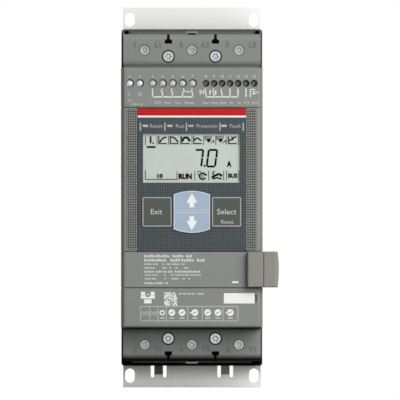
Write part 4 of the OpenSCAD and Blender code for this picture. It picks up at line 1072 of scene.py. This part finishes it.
def cover_tongue():
    """The upper cover's tongue, in the gap above the front block."""
    half_length, z, width, rise = 43, 83.5, 1.9, 0.7
    floor = COVER_FACE + 2.5 * MM
    tongue = bars([(-half_length, z, half_length, z, width)], floor, rise)
    return as_piece(tongue, "cover_tongue", "housing", TONGUE_GREY)


# Inside, seen through the side vents: insulating walls between the phases

def phase_wall(name, side):
    """Sheet with rounded corners, from the heat sink's front to the power board."""
    height, thickness, corner, clear = 150 * MM, 0.8 * MM, 4 * MM, 0.3 * MM
    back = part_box("heat_sink")[0].y
    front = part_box("power_board")[1].y + clear
    start_mesh(bpy.ops.mesh.primitive_plane_add, size=back - front, rotation=(0, math.pi / 2, 0),
               location=(side * SLOT_X * MM, (back + front) / 2, 0))
    bpy.ops.transform.resize(value=(1, 1, height / (back - front)))
    bpy.ops.mesh.bevel(offset=corner, segments=4, affect="VERTICES")
    bpy.ops.mesh.extrude_region_move(TRANSFORM_OT_translate={"value": (thickness, 0, 0)})
    return as_piece(close_mesh(), name, "housing", FINISH_OF_SLOT["black_plastic"])


# Studio, in metres

FLOOR_PLACE = (0, -0.09, -0.135)
FLOOR_R = 0.45
FLOOR_PALE = (0.9, 0.9, 0.9, 1)
FLOOR_DIM = (0.55, 0.55, 0.55, 1)   # what the floor throws back at the object
AIM_Y = -0.1                        # depth that the lamps point at
FIELD_BEHIND = 0.03                 # depth behind the covers' faces where the camera's field is measured


def studio_floor():
    """Pale disc that fades to white at its rim and keeps the object's shadow."""
    bpy.ops.object.select_all(action="DESELECT")
    bpy.ops.mesh.primitive_circle_add(vertices=96, radius=FLOOR_R, fill_type="NGON", location=FLOOR_PLACE)
    floor = bpy.context.object
    floor.name = "studio_floor"
    material = finish("studio_floor", FLOOR_PALE, 0.9)
    shader = shader_of(material)
    shader.inputs["Specular IOR Level"].default_value = 0.0
    camera_ray = node(material, "ShaderNodeLightPath").outputs["Is Camera Ray"]
    paint(material, blend_colours(material, camera_ray, FLOOR_DIM, FLOOR_PALE))
    white = node(material, "ShaderNodeEmission")
    distance = node(material, "ShaderNodeVectorMath")
    distance.operation = "LENGTH"
    link(material, object_place(material), distance.inputs[0])
    fade_start, fade_end, least_white = FLOOR_R * 0.35, FLOOR_R * 0.95, 0.35
    fade = ranged(material, distance.outputs["Value"], fade_start, fade_end, least_white, 1)
    mix = node(material, "ShaderNodeMixShader")
    link(material, times(material, fade, camera_ray), mix.inputs[0])
    link(material, shader.outputs[0], mix.inputs[1])
    link(material, white.outputs[0], mix.inputs[2])
    link(material, mix.outputs[0], material.node_tree.nodes["Material Output"].inputs["Surface"])
    floor.data.materials.append(material)


def studio_world(strength):
    """White where it is seen or mirrored, softer where it lights the object."""
    world = bpy.data.worlds.new("studio_world")
    bpy.context.scene.world = world
    world.use_nodes = True
    nodes, links = world.node_tree.nodes, world.node_tree.links
    light = nodes["Background"]
    light.inputs["Color"].default_value = (1, 1, 1, 1)
    light.inputs["Strength"].default_value = strength
    white = nodes.new("ShaderNodeBackground")
    white.inputs["Color"].default_value = (1, 1, 1, 1)
    white.inputs["Strength"].default_value = 1
    rays = nodes.new("ShaderNodeLightPath")
    seen = rays.outputs["Is Camera Ray"]
    for name in ("Is Glossy Ray", "Is Transmission Ray"):
        either = nodes.new("ShaderNodeMath")
        either.operation = "MAXIMUM"
        links.new(seen, either.inputs[0])
        links.new(rays.outputs[name], either.inputs[1])
        seen = either.outputs[0]
    mix = nodes.new("ShaderNodeMixShader")
    links.new(seen, mix.inputs[0])
    links.new(light.outputs[0], mix.inputs[1])
    links.new(white.outputs[0], mix.inputs[2])
    links.new(mix.outputs[0], nodes["World Output"].inputs["Surface"])


def softbox(name, place, size, power):
    bpy.ops.object.light_add(type="AREA", location=place)
    lamp = bpy.context.object
    lamp.name = name
    lamp.data.shape = "DISK"
    lamp.data.size = size
    lamp.data.energy = power
    aim = -lamp.location
    aim.y += AIM_Y
    lamp.rotation_euler = aim.to_track_quat("-Z", "Y").to_euler()


def camera(distance, field, middle):
    """Long lens straight in front; field is the width in view, at that distance."""
    sensor, room_behind = 36, 5
    place = (middle[0], COVER_FACE + FIELD_BEHIND - distance, middle[1])
    bpy.ops.object.camera_add(location=place, rotation=UPRIGHT)
    view = bpy.context.object
    view.name = "front_camera"
    view.data.sensor_width = sensor
    view.data.lens = sensor * distance / field
    view.data.clip_start = 1
    view.data.clip_end = distance + room_behind
    bpy.context.scene.camera = view


bpy.context.scene.view_settings.view_transform = "Standard"
dress_solids()
for middle, name in ((-38.1, "left"), (37.7, "right")):
    grip_field(middle, "grip_field_" + name)
    grip_dots(middle, "grip_dots_" + name)
terminal_numbers()
screw_collars()
contact_signs()
terminal_words()
strip_edge()
strip_underline()
status_bars()
status_words()
lcd_cells()
lcd_icons()
lcd_digits()
lcd_words()
key_rim("exit_key", RIM_INK)
key_rim("select_key", RIM_INK)
key_rim("up_key", PALE_RIM_INK)
key_rim("down_key", PALE_RIM_INK)
exit_word()
select_word()
reset_word()
arrow("up_key", side=1)
arrow("down_key", side=-1)
print_rows()
corner_bar()
cover_sign()
index_square()
index_line()
screw_table()
screw_discs()
disc_slots()
pole_marks("line_marks", ("1", "L1", "3", "L2", "5", "L3"), base=95.7)
pole_marks("load_marks", ("2", "T1", "4", "T2", "6", "T3"), base=-98.4)
barrier_seats()
rim_seal("upper_rim_seal", end=1)
rim_seal("lower_rim_seal", end=-1)
cover_tongue()
phase_wall("phase_wall_left", side=-1)
phase_wall("phase_wall_right", side=1)
studio_floor()
studio_world(strength=0.14)
softbox("upper_softbox", place=(0.75, -1.1, 0.62), size=1.2, power=20.0)
softbox("front_softbox", place=(0.35, -1.2, -0.1), size=0.5, power=1.4)
camera(distance=11.25, field=0.2553, middle=(0.0052, -0.0016))
